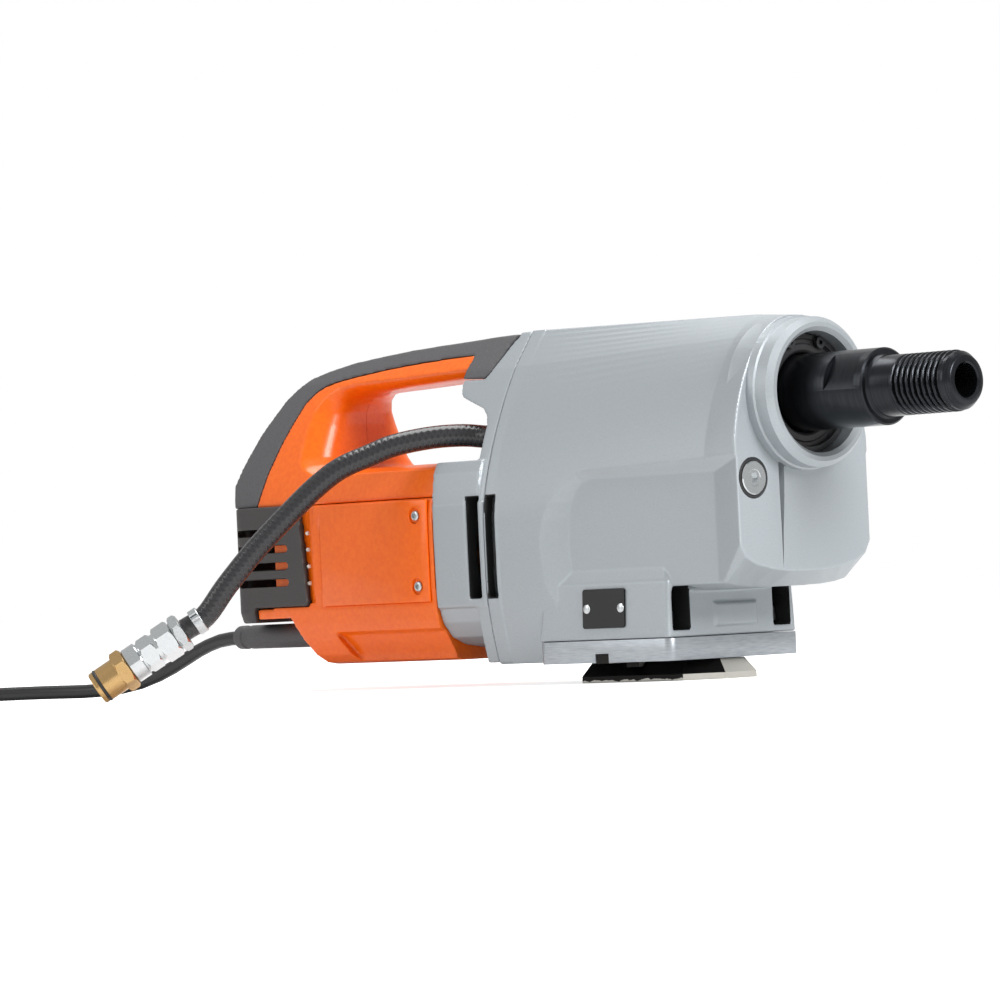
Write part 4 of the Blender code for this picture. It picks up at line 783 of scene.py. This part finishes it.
# Silver wet paint over die-cast aluminium: fine metal flake and a slight peel.
silver_paint = speckled(
    "silver_casting_paint", "#989ea2", "#a1a7ab", (0.6, 0.03, 0.12, 5.0), Metallic=0.35, Roughness=0.42
)
finish(hull, silver_paint, "machine", "cast_paint", "gearbox_housing")

# Painted shade inside the slots and bolt windows: near black and dull, standing in for the dark hollows
# behind them.
hollow_painted_shade = speckled("painted_shade_in_hollows", "#0c0c0d", "#141415", (0.9, 0.05, 0.3), Roughness=0.7)


def darken(piece, low, high):
    """Gives the painted shade to every face whose centre lies in the box from low to high."""
    if len(piece.data.materials) < 2:
        piece.data.materials.append(hollow_painted_shade)
    for face in piece.data.polygons:
        if all(a <= c / MM <= b for a, c, b in zip(low, face.center, high)):
            face.material_index = 1


# Painted shade in the two bolt windows and the vent slots.
darken(hull, (6, -45.6, 26.9), (49.0, -31.8, 52.7))
darken(hull, (6, 31.8, 26.9), (49.0, 45.6, 52.7))
darken(hull, (-85.6, -50.2, 48), (-77.2, 50.2, 104.5))


# ---- Motor flange --------------------------------------------------------------------------
# The casting between gearbox and motor: a full arch plate, a flat-topped duct with cooling slots
# and a lug that carries the handle's front end.

flange = slab("flange_casting", arch(13, 193.6), "x", -95, -86.35)
half = [(45, 123.9), (48.3, 117.3), (50.0, 104), (50.3, 83), (50.0, 69.5), (49.5, 48), (46, 35.8),
        (39.2, 27.5), (30, 23.4), (17.4, 21.4)]
duct = half + [(-y, z) for y, z in reversed(half)]
combine(flange, slab("duct", duct, "x", -126.5, -90), "UNION")
band = [(50.9, 101), (51.0, 83), (50.8, 69.5), (50.3, 44), (20, 44), (20, 101)]
for side in (-1, 1):
    combine(flange, slab("band", [(side * y, z) for y, z in band], "x", -126.0, -86.4), "UNION")
lug = slab(
    "lug",
    [(-92, 140), (-95.3, 143.5), (-97, 148), (-101, 152), (-120, 159), (-122.5, 161), (-124.4, 166),
     (-124.6, 168.9), (-108.2, 168.5), (-105, 172), (-96.8, 189.0), (-92, 193)],
    "y", -60, 60,
)
combine(lug, slab("envelope", arch(130, 193.6), "x", -140, -80), "INTERSECT")
combine(flange, lug, "UNION")
combine(flange, block("vent", (-99.8, -60, VENT_LOW), (-90.2, 60, VENT_HIGH)))
soften(flange, 0.8, 1, 0.5)
combine(flange, rod("fan_duct", 43.3, -128, -84, MOTOR_AXIS, 128))
combine(flange, rod("inlet_hole", 5.0, -97, -84, INLET_AXIS))
shade(flange)
finish(flange, silver_paint, "machine", "cast_paint", "motor_flange")
# Painted shade in the flange's vent slots.
darken(flange, (-100.2, -50.0, 48), (-89.8, 50.0, 104.5))


# ---- Motor housing -------------------------------------------------------------------------
# Injection-moulded orange polyamide with a gloss skin. It holds the stator, and a shelf at its rear
# carries the guard. A deeper belly runs under the motor.

housing = slab("motor_shell", arch(42, 105.0), "x", -262, -126.9)
belly_half = [(50.0, 47), (49.2, 38), (47.0, 29), (42.5, 20.5), (37, 16.2), (30, 15)]
belly = belly_half + [(-y, z) for y, z in reversed(belly_half)]
belly_shell = slab("belly", belly, "x", -252, -126.9)
rear_slope = [(-260, 5), (-228, 5), (-233, 17), (-247.5, 41), (-253, 47.5), (-260, 47.5)]
combine(belly_shell, slab("rear_slope", rear_slope, "y", -60, 60))
for side in (-1, 1):
    wedge = [(side * 53, 35.0), (side * 53, 5), (side * 33, 5), (side * 37, 20), (side * 44, 31.5)]
    scoop = loft("scoop", [(-214, wedge), (-120, wedge)])
    for vertex in scoop.data.vertices:
        if vertex.co.x < -0.2:
            vertex.co.x += (0.035 - vertex.co.z) * 0.55
    combine(belly_shell, scoop)
combine(housing, belly_shell, "UNION")
combine(housing, slab("shelf", arch(42, 47.6, 0.3), "x", -276, -255), "UNION")
for side in (-1, 1):
    low, high = sorted((side * 49.1, side * 60))
    combine(housing, block("door_seat", (-219.3, low, 47.3), (-130.2, high, 104.7)))
    low, high = sorted((side * 46.9, side * 60))
    combine(housing, block("guard_seat", (-290, low, 48), (-231, high, 110)))
    low, high = sorted((side * 47.6, side * 60))
    combine(housing, block("strip_recess", (-237.5, low, 50), (-226, high, 104.8)))
soften(housing, 0.9, 1, 0.5)
for tool in (
    rod("motor_bore", 42.3, -220, -125, MOTOR_AXIS, 128),
    rod("bearing_seat", 14.3, -233, -219, MOTOR_AXIS),
    rod("sleeve_hole", 7.3, -262, -223, SLEEVE_AXIS),
    *(rod("air_hole", 6.5, -264, -219, (27 * math.cos(t), MOTOR_AXIS[1] + 21.6 * math.sin(t)), 32)
      for t in (math.pi / 4 + math.pi / 2 * k for k in range(4))),
):
    combine(housing, tool)
DOOR_SCREW_X = -140.5
DOOR_SCREW_HEIGHTS = {"lower": 56.5, "upper": 95.5}
for side in (-1, 1):
    low, high = sorted((side * 20.0, side * 44.0))
    combine(housing, block("brush_guide", (-215, low, 65.5), (-201, high, 78.5)), "UNION")
    low, high = sorted((side * 19.0, side * 60.0))
    combine(housing, block("brush_slot", (-213.3, low, 67.7), (-202.7, high, 76.3)))
    for z in DOOR_SCREW_HEIGHTS.values():
        combine(housing, aim(rod("screw_hole", 2.4, 43.5, 52, steps=24), (DOOR_SCREW_X, 0, z), (0, side, 0)))
combine(housing, block("switch_pocket", (-182.5, 36, 30), (-157.5, 60, 42)))
shade(housing)

# Glass-filled polyamide moulding in orange: a bright skin with a trace of orange peel.
orange_shell = speckled("gloss_orange_polyamide", "#e86106", "#ee690a", (2.5, 0.04, 0.15, 2.0),
                        Roughness=0.32, Coat_Weight=0.15, Specular_IOR_Level=0.35)
finish(housing, orange_shell, "machine", "orange", "motor_housing")


# ---- Brush covers --------------------------------------------------------------------------
# A thin orange door over each carbon brush, flush in its seat, with two star-drive screws in
# deep counterbores at its front end.

def eased(piece, width, segments, angle=30):
    """Rounds every edge of a piece that turns by more than angle degrees."""
    bpy.context.view_layer.objects.active = piece
    bevel = piece.modifiers.new("Bevel", "BEVEL")
    bevel.width = width * MM
    bevel.segments = segments
    bevel.limit_method = "ANGLE"
    bevel.angle_limit = math.radians(angle)
    bpy.ops.object.modifier_apply(modifier=bevel.name)
    return piece


COUNTERBORE = [(48, 0), (48, 2.4), (49.7, 2.4), (49.7, 4.3), (50.9, 4.6), (52, 5.0), (52, 0)]
SCREW_PROFILE = [(44, 0), (44, 2.0), (49.8, 2.0), (49.8, 2.8), (50.5, 2.8), (50.9, 2.4), (51.05, 1.6),
                 (51.05, 0)]
STAR_RADII = (1.8, 1.1)
star = []
for k in range(12):
    radius = STAR_RADII[k % 2]
    star.append((radius * math.sin(k * math.pi / 6), radius * math.cos(k * math.pi / 6)))
for side, label in ((-1, "left"), (1, "right")):
    low, high = sorted((side * 49.5, side * 51.2))
    cover = block(f"brush_door_{label}", (-218.7, low, 47.9), (-130.8, high, 104.1))
    eased(cover, 0.45, 3)
    for place, z in DOOR_SCREW_HEIGHTS.items():
        combine(cover, aim(turned("counterbore", COUNTERBORE, steps=64), (DOOR_SCREW_X, 0, z), (0, side, 0)))
        screw = turned(f"door_screw_{label}_{place}", SCREW_PROFILE, steps=48)
        combine(screw, slab("star", star, "x", 50.1, 53))
        aim(screw, (DOOR_SCREW_X, 0, z), (0, side, 0))
        shade(screw)
        finish(screw, zinc, "machine", "steel", f"cover_screw_{label}_{place}")
    shade(cover)
    finish(cover, orange_shell, "machine", "orange", f"brush_cover_{label}")


# ---- Handle --------------------------------------------------------------------------------
# Two orange half shells closed along the middle plane. The grip loop is scooped out with large
# soft edges, and the rear post runs down to the motor shell.

loop = [(-118.0, 124.2), (-222, 124.2), (-226, 124.9), (-229.3, 127.5), (-231, 132), (-231.4, 140),
        (-231.4, 150), (-230.6, 157), (-228, 162), (-223.5, 165.3), (-216, 166.7), (-190, 167.4),
        (-165, 168.2), (-146, 168.9), (-118.0, 169.9)]
SPREAD_ABOVE, SPREAD_BELOW = 0.45, 0.25


def grown(points, amount):
    """The loop's outline moved outwards, less over and under it, apart from its open front end."""
    result = []
    for i, (x, z) in enumerate(points):
        before, after = points[max(i - 1, 0)], points[min(i + 1, len(points) - 1)]
        dx, dz = after[0] - before[0], after[1] - before[1]
        size = math.hypot(dx, dz)
        nx, nz = -dz / size, dx / size
        share = SPREAD_ABOVE if nz > 0 else SPREAD_BELOW
        result.append((x if i in (0, len(points) - 1) else x + nx * amount, z + share * nz * amount))
    return result


# How far the loop has grown at each depth below the handle's side.
scoop_levels = [(17.0, 0.0), (13.0, 0.7), (10.0, 1.8), (7.5, 3.2), (5.5, 5.0), (3.5, 7.2), (1.8, 9.6),
                (0.6, 11.6), (0.0, 13.0), (-9.0, 22.0)]
rings = []
for depth, amount in scoop_levels:
    rings.append([(x, half_width(max(min(z, 185), 20)) - depth, z) for x, z in grown(loop, amount)])
rings = [[(x, -y, z) for x, y, z in ring] for ring in reversed(rings)] + rings
cutter = skin("loop_cutter", rings)

STRIP_INNER = [(-124.5, 183.0), (-150, 182.1), (-173, 180.8), (-196, 179), (-217, 176.6), (-232, 174.5),
               (-241, 172.3), (-247, 169.3), (-253.3, 163.2), (-262.2, 143.5), (-269, 124.8), (-274.2, 105.6)]
HANDLE_BOTTOM = 105.3
under_strip = [(x + 0.2, z - 0.2) for x, z in STRIP_INNER[:-1]]
post = slab("handle_post", [(-126.9, HANDLE_BOTTOM), *under_strip, (-274, HANDLE_BOTTOM)], "y", -60, 60)
combine(post, slab("envelope", arch(100, 193.4), "x", -320, -100), "INTERSECT")
combine(post, cutter)
soften(post, 0.9, 3, 0.6)
combine(post, rod("motor_bore", 42.3, -220, -125, MOTOR_AXIS, 128))
for side, label in ((-1, "left"), (1, "right")):
    shell = post.copy()
    shell.data = post.data.copy()
    shell.name = f"grip_shell_{label}"
    scene.collection.objects.link(shell)
    low, high = sorted((-side * 60, side * 0.1))
    combine(shell, block("other_half", (-320, low, 90), (-100, high, 200)))
    low, high = sorted((side * -1, side * 24))
    combine(shell, block("board_pocket", (-258, low, 112), (-239, high, 146)))
    shade(shell)
    finish(shell, orange_shell, "machine", "orange", f"handle_shell_{label}")
bpy.data.objects.remove(post)


# Grip strip: thermoplastic elastomer moulded over the handle's crown, from the front pad round the
# heel to the guard. Its corners follow the guard's plan.


def guard_plan(front, grow, radius=15, steps=8):
    half = 51.2 + grow
    back_x = -298.0 - grow
    corner = [
        (back_x + radius - radius * math.sin(t), half - radius + radius * math.cos(t))
        for t in (math.pi / 2 * k / steps for k in range(steps + 1))
    ]
    return [(front, half), *corner, *[(x, -y) for x, y in reversed(corner)], (front, -half)]


STRIP_OUTER = [(-96.8, 192.8), (-114, 192.3), (-132, 191.3), (-156, 190.3), (-180, 189), (-203, 187),
               (-225, 184.7), (-243, 181.2), (-256, 177.5), (-264, 172), (-270, 166.5), (-283, 147),
               (-292, 128.4), (-297, 114.6), (-298, 105.5)]
front_pad_edge = [(-126.0, 169.8), (-108.4, 169.0), (-105, 172.2)]
strip = slab("grip_strip", [*STRIP_OUTER, *reversed(STRIP_INNER), *front_pad_edge], "y", -60, 60)
combine(strip, slab("envelope", arch(100, 193.6, -0.35), "x", -320, -90), "INTERSECT")
combine(strip, slab("corners", guard_plan(-60, 0.3), "z", 90, 210), "INTERSECT")
soften(strip, 1.0, 3)
shade(strip, 40)
# Grey-black and dry, with a fine eroded grain.
elastomer = speckled("grained_elastomer", "#474648", "#525153", (0.8, 0.08, 0.35), Roughness=0.62)
finish(strip, elastomer, "machine", "dark_grip", "handle_grip_strip")


# ---- Rear guard ----------------------------------------------------------------------------
# A black glass-filled cap round the motor's back end, with four cooling slots that run round its
# corners and a raised bevel at its front edge.

guard = loft(
    "vent_guard",
    [(40, guard_plan(-236, -1.2)), (46, guard_plan(-231.5, 0)), (105.6, guard_plan(-237, 0))],
    "z",
)
combine(guard, slab("hollow", guard_plan(-200, -4.2, 12), "z", 48, 110))
combine(guard, block("shelf_gap", (-277, -60, 36), (-220, 60, 48.3)))
SLOT_FIRST, SLOT_PITCH, SLOT_RADIUS = 60.2, 9.6, 2.0
for k in range(4):
    z = SLOT_FIRST + SLOT_PITCH * k
    turns = [math.pi / 6 * i for i in range(7)]
    nose = [(-249 + SLOT_RADIUS * math.sin(t), z + SLOT_RADIUS - SLOT_RADIUS * math.cos(t)) for t in turns]
    combine(guard, slab("slot", [(-292, z), *nose, (-292, z + 2 * SLOT_RADIUS)], "y", -60, 60))
for side in (-1, 1):
    low, high = sorted((side * 50.4, side * 60))
    combine(guard, block("front_step", (-236.5, low, 40), (-225, high, 47)))
soften(guard, 1.0, 3)
shade(guard, 40)
# Glass-filled polyamide, spark-eroded: warm black with a fine even grain.
guard_black = speckled("eroded_black_polyamide", "#2b2827", "#343130", (0.7, 0.08, 0.35), Roughness=0.5)
finish(guard, guard_black, "machine", "black_plastic", "rear_guard")

# Pale snap pegs that hold the guard's front edge, seen in the narrow recess beside it.
peg_white = speckled("acetal_peg", "#d9d4cc", "#e6e2da", (0.5, 0.02, 0.2), Roughness=0.35)
for side in (-1, 1):
    pegs = None
    for z in (61.3, 70.8, 80.2, 89.4, 102.8):
        peg = turned("peg", [(46.5, 0), (46.5, 1.1), (48.2, 1.1), (48.8, 0.7), (49.0, 0)], steps=20)
        aim(peg, (-232.5, 0, z), (0, side, 0))
        pegs = combine(pegs, peg, "UNION") if pegs else peg
    pegs.name = f"guard_pegs_{'left' if side < 0 else 'right'}"
    shade(pegs)
    finish(pegs, peg_white, "machine", "black_plastic")


# ---- Spindle -------------------------------------------------------------------------------
# Hardened steel, turned and blackened: a thick collar with two spanner flats, a plain neck, then a
# coarse right-hand thread. A water bore runs right through it.

THREAD_START, THREAD_END, THREAD_PITCH, THREAD_DEPTH = 184.0, 217.0, 25.4 / 7, 2.2
profile = [(-20, 8.85), (-20, 15), (70, 15), (70, 20.25), (167.2, 20.25), (168, 19.3), (168, 17.2),
           (169, 16.4), (170, 16.0), (182.6, 15.9)]
steps = 132
RUN_IN = 1.4
thread_length = THREAD_END + RUN_IN - THREAD_START
profile += [(THREAD_START - RUN_IN + k * thread_length / steps, 15.875) for k in range(1, steps + 1)]
profile += [(217.6, 15.2), (219.2, 15.2), (222.2, 13.0), (222.6, 12.4), (222.6, 9.6), (221.8, 8.85)]
spindle = turned("drill_spindle", profile, SPINDLE_AXIS, 144)
for vertex in spindle.data.vertices:
    x, y, z = vertex.co / MM
    radius = math.hypot(y, z - SPINDLE_AXIS[1])
    if THREAD_START - RUN_IN < x < THREAD_END + 0.01 and radius > 15.5:
        place = ((x - THREAD_START) / THREAD_PITCH - math.atan2(z - SPINDLE_AXIS[1], y) / (2 * math.pi)) % 1.0
        cut_in = min(1.0, max(0.0, (abs(place - 0.5) * 2 - 0.30) / 0.55))
        fade = min(1.0, (x - THREAD_START + RUN_IN) / 2.5)
        share = 1 - THREAD_DEPTH * cut_in * fade / radius
        vertex.co = Vector((x, y * share, SPINDLE_AXIS[1] + (z - SPINDLE_AXIS[1]) * share)) * MM
at_spindle = Matrix.Translation((0, 0, SPINDLE_AXIS[1] * MM)) @ Matrix.Rotation(math.radians(-30), 4, "X")
for side in (-1, 1):
    low, high = sorted((side * 17.3, side * 30.0))
    flat = block("flat", (141.5, low, -30), (162.5, high, 30))
    flat.data.transform(at_spindle)
    combine(spindle, flat)
shade(spindle, 35)


def tooled(name, low, high, per_metre, detail, depth, strength, **sockets):
    """A finish in two near tones with drawn-out marks, given as how many a metre holds along x, y and z."""
    made, tree, shader = new_material(name, **sockets)
    place = add_node(tree, "ShaderNodeTexCoord")
    stretch = add_node(tree, "ShaderNodeMapping", {"Scale": per_metre}, {"Vector": place.outputs["Object"]})
    marks = add_node(tree, "ShaderNodeTexNoise", {"Scale": 1.0, "Detail": detail},
                     {"Vector": stretch.outputs[0]})
    bump = add_node(tree, "ShaderNodeBump", {"Strength": strength, "Distance": depth * MM},
                    {"Height": marks.outputs["Fac"]})
    tree.links.new(bump.outputs["Normal"], shader.inputs["Normal"])
    two_tones(tree, shader, marks.outputs["Fac"], low, high)
    return made


# Black-oxide finish on turned steel: deep grey-black, satin, with fine tool rings round the axis.
black_oxide = tooled("black_oxide_steel", "#202225", "#2c2e32", (1800, 60, 60), 3.0, 0.05, 0.12,
                     Metallic=0.85, Roughness=0.26)
finish(spindle, black_oxide, "spindle", "black_steel", "spindle")

# Shaft seal: a rubber-covered ring whose lip runs on the collar.
seal = turned(
    "lip_seal",
    [(103, 22.5), (103, 31.5), (109.2, 31.5), (110, 30.8), (110, 28.6), (109.2, 28.0), (109.2, 26.2),
     (109.8, 25.4), (109.8, 22.6), (109.0, 21.4), (106, 20.6), (105, 22.5)],
    SPINDLE_AXIS, 144,
)
finish(seal, plug_pvc, "machine", "rubber", "shaft_seal")

# Retaining ring: stamped spring steel, blackened, with two drilled ears at its gap.
GAP_ANGLE = math.radians(20)
sweep = 2 * math.pi - 2 * GAP_ANGLE
outline = []
for radius, way in ((31.6, 1), (28.6, -1)):
    for k in range(61):
        t = math.pi / 2 + way * GAP_ANGLE + way * sweep * k / 60
        outline.append((radius * math.cos(t), SPINDLE_AXIS[1] + radius * math.sin(t)))
clip = slab("circlip", outline, "x", 110.4, 112.2)
for side in (-1, 1):
    t = math.pi / 2 + side * (GAP_ANGLE + 0.06)
    ear = (28.6 * math.cos(t), SPINDLE_AXIS[1] + 28.6 * math.sin(t))
    combine(clip, rod("ear", 3.2, 110.4, 112.2, ear, 32), "UNION")
    combine(clip, rod("ear_hole", 1.25, 109, 113, ear, 24))
shade(clip)
# Phosphated spring steel: mid grey and satin.
phosphated = speckled(
    "phosphated_steel", "#3a3b3c", "#4c4d4e", (0.5, 0.02, 0.2), Metallic=0.8, Roughness=0.35
)
finish(clip, phosphated, "machine", "black_steel", "retaining_ring")


# ---- Oil plug and nameplate ----------------------------------------------------------------
# A chrome-plated socket plug over a rubber ring in the nose, and a thin black plate on the foot held
# by two drive rivets. The plate is blank.

ring_profile = [(103.7, 9.0), (103.7, 10.5), (105.3, 10.5), (105.7, 10.1), (105.7, 9.2), (105.3, 9.0)]
ring_seal = turned("plug_ring", ring_profile, OIL_PLUG_AXIS, 72)
finish(ring_seal, plug_pvc, "machine", "rubber", "oil_plug_seal")
filler = turned(
    "filler_plug",
    [(103.7, 0), (103.7, 8.9), (106.0, 8.9), (106.5, 8.4), (106.5, 4.6), (106.2, 4.3), (106.2, 0)],
    OIL_PLUG_AXIS, 96,
)


def six_corners(radius, centre=(0, 0)):
    """A hexagon's corners round centre."""
    turns = [k * math.pi / 3 for k in range(6)]
    return [(centre[0] + radius * math.cos(t), centre[1] + radius * math.sin(t)) for t in turns]


combine(filler, slab("hex_socket", six_corners(3.0, OIL_PLUG_AXIS), "x", 104.3, 110))
shade(filler)
finish(filler, chrome, "machine", "steel", "oil_plug")

PLATE_CORNER = 1.6
corners = [(16.6, 48.9, 0), (-11.6, 48.9, 1), (-11.6, 31.1, 2), (16.6, 31.1, 3)]
outline = [
    (x + PLATE_CORNER * math.cos(t), z + PLATE_CORNER * math.sin(t))
    for x, z, quarter in corners
    for t in (math.pi / 2 * (quarter + k / 5) for k in range(6))
]
plate = slab("blank_plate", outline, "y", -49.9, -48.9)
middle = Matrix.Translation((0, -49.4 * MM, 40 * MM))
plate.data.transform(middle @ Matrix.Rotation(math.radians(-2.5), 4, "X") @ middle.inverted())
shade(plate)
# Black-anodised aluminium: flat, dark and smooth.
plate_black = speckled(
    "anodised_black_plate", "#070707", "#0d0d0d", (0.6, 0.02, 0.2), Roughness=0.38, Metallic=0.2
)
finish(plate, plate_black, "machine", "plate_black", "nameplate")
RIVET_PROFILE = [(45, 0), (45, 1.4), (49.9, 1.4), (49.9, 2.5), (50.2, 2.3), (50.5, 1.5), (50.6, 0)]
for x, label in ((-10.0, "rear"), (15.4, "front")):
    rivet = turned(f"drive_rivet_{label}", RIVET_PROFILE, steps=36)
    aim(rivet, (x, 0, 40), (0, -1, 0))
    finish(rivet, zinc, "machine", "steel", f"nameplate_rivet_{label}")


# ---- Mounting plates -----------------------------------------------------------------------
# The base plate is sawn and milled aluminium with a keyway across it. The quick-mount plate under it
# is blackened steel with bevelled flanks, worn bright along its rim and at its front.

def plate_plan(x0, x1, half, radius, steps=6):
    front = rounded(0, x1, half, radius, steps)[1:-1]
    rear = rounded(0, -x0, half, radius, steps)[1:-1]
    return front + [(-x, -y) for x, y in rear]


base = slab("base_slab", plate_plan(-48, 51, 50, 5), "z", 11.1, 23)
combine(base, block("keyway", (-5, -60, 10), (5, 60, 16)))
for spot in (FRONT_BOLTS[1], FRONT_BOLTS[0], REAR_BOLT):
    bolt_hole(base, spot, 8, 20)
shade(eased(base, 0.6, 2))
# Milled aluminium: grey and half matt, with cutter marks that run level round its edge.
milled = tooled("milled_aluminium", "#969ba0", "#a6abaf", (120, 120, 1600), 4.0, 0.05, 0.15,
                Metallic=0.85, Roughness=0.38)
finish(base, milled, "machine", "machined", "base_plate")


def eight_sided(inset):
    x, y, c = 54 - inset, 28 - inset, 16 - 0.59 * inset
    half = [(x, y - c), (x - c, y), (c - x, y), (-x, y - c)]
    return half + [(-a, -b) for a, b in half]


mount = loft(
    "quick_mount",
    [(0, eight_sided(0.4)), (0.4, eight_sided(0)), (3.4, eight_sided(0)), (10.7, eight_sided(6))],
    "z",
)
combine(mount, block("key", (-4.7, -49.5, 8), (4.7, 49.5, 15.7)), "UNION")
combine(mount, block("key_relief", (-6, -60, 5), (6, -27, 10.7)))
combine(mount, block("key_relief", (-6, 27, 5), (6, 60, 10.7)))
bolt_hole(mount, REAR_BOLT, -2, 14)
combine(mount, aim(rod("bolt_sink", 7.0, -2, 6.0, steps=48), (*REAR_BOLT, 0), (0, 0, 1)))
shade(mount, 20)
# Blackened steel, rubbed to bare metal at its lower rim and over its front face.
worn_black, tree, shader = new_material("worn_black_oxide", Metallic=0.8, Roughness=0.36)
place = add_node(tree, "ShaderNodeTexCoord")
where = add_node(tree, "ShaderNodeSeparateXYZ", {}, {0: place.outputs["Object"]})
scuff = add_node(tree, "ShaderNodeTexNoise", {"Scale": 260.0, "Detail": 6.0},
                 {"Vector": place.outputs["Object"]})
wobble = add_node(tree, "ShaderNodeMath", {"operation": "MULTIPLY_ADD", 1: 4.0 * MM, 2: -2.0 * MM},
                  {0: scuff.outputs["Fac"]})
height = add_node(tree, "ShaderNodeMath", {"operation": "ADD"}, {0: where.outputs["Z"], 1: wobble.outputs[0]})
rim_worn = add_node(tree, "ShaderNodeMapRange", {"From Min": 1.3 * MM, "From Max": 0.7 * MM},
                    {"Value": height.outputs[0]})
facing = add_node(tree, "ShaderNodeNewGeometry")
facing = add_node(tree, "ShaderNodeSeparateXYZ", {}, {0: facing.outputs["Normal"]})
front_worn = add_node(tree, "ShaderNodeMapRange", {"From Min": 0.62, "From Max": 0.70},
                      {"Value": facing.outputs["X"]})
bare = add_node(tree, "ShaderNodeMath", {"operation": "MAXIMUM"},
                {0: rim_worn.outputs[0], 1: front_worn.outputs[0]})
two_tones(tree, shader, bare.outputs[0], "#1b1918", "#cfccc4", 0.3, 0.7)
finish(mount, worn_black, "machine", "black_steel", "quick_mount_plate")

# Foot bolts: zinc-plated socket caps.
BOLT_SEAT = 29.3
BOLT_PROFILE = [(-17.5, 0), (-17.5, 4.0), (0, 4.0), (0, 6.0), (7.2, 6.0), (8, 5.4), (8, 0)]
for label, spot in zip(("front_left", "front_right"), FRONT_BOLTS):
    bolt = turned(f"cap_bolt_{label}", BOLT_PROFILE, steps=64)
    combine(bolt, slab("hex_socket", six_corners(3.4), "x", 4, 9))
    aim(bolt, (*spot, BOLT_SEAT), (0, 0, 1))
    shade(bolt)
    finish(bolt, zinc, "machine", "steel", f"foot_bolt_{label}")


# ---- Controls on the far side --------------------------------------------------------------
# A black gear knob with a raised finger bar, and a red rocker switch in the motor shell.

knob = turned("gear_knob", [(52, 0), (52, 14.2), (52.8, 15), (56.5, 15), (58, 13.8), (58, 0)], steps=96)
bar = slab("finger_bar", [(-3.2, -13.6), (3.2, -13.6), (3.2, 13.6), (-3.2, 13.6)], "x", 57, 66)
combine(knob, bar, "UNION")
eased(knob, 0.8, 3, 50)
combine(knob, rod("bore", 4.3, 50, 60, steps=48))
outwards = Matrix(((0, 0, 1), (1, 0, 0), (0, 1, 0))).to_4x4()
knob.data.transform(Matrix.Translation(Vector((KNOB_X, 0, KNOB_Z)) * MM) @ outwards)
shade(knob)
finish(knob, guard_black, "gear_selector", "black_plastic", "selector_knob")

rocker_plan = [(-180, 45.5), (-170, 41.0), (-160, 45.5), (-160.4, 51.5), (-165, 50.2), (-170, 49.8),
               (-175, 50.2), (-179.6, 51.5)]
rocker = slab("switch_cap", rocker_plan, "z", 30.5, 41.5)
shade(eased(rocker, 0.5, 3))
# Moulded nylon in signal red.
switch_red = speckled("red_nylon", "#a81208", "#b8190d", (0.6, 0.02, 0.2), Roughness=0.35)
finish(rocker, switch_red, "power_switch", "red_plastic", "switch_rocker")


# ---- Inside --------------------------------------------------------------------------------
# What the castings hold keeps its own shape and gets its real finish: ground steel gears and
# shafts, copper windings, brass water fittings and a lacquered board.

ground_steel = speckled("ground_steel", "#9fa2a5", "#b4b7b9", (0.6, 0.02, 0.2), Metallic=1.0, Roughness=0.28)

# Enamelled copper wire, laid in turns about a millimetre apart.
winding = tooled("enamelled_copper", "#8c4520", "#c0683a", (1000, 100, 100), 2.0, 0.2, 0.4,
                 Metallic=0.9, Roughness=0.35)

lacquer = speckled("lacquered_board", "#0f4a2a", "#176338", (1.5, 0.05, 0.3), Roughness=0.4)

inside = {
    "steel": ground_steel, "machined": milled, "copper": winding, "brass": brass, "board": lacquer,
    "black_plastic": guard_black, "black_steel": black_oxide, "rubber": plug_pvc, "cast_paint": silver_paint,
}
slots = {entry["node"]: entry["material_slot"] for entry in frame["record"]["subparts"]}
for node, thing in frame["nodes"].items():
    if slots[node] in inside and not thing.hide_render:
        for i in range(max(1, len(thing.data.materials))):
            if i < len(thing.data.materials):
                thing.data.materials[i] = inside[slots[node]]
            else:
                thing.data.materials.append(inside[slots[node]])

bpy.context.view_layer.update()
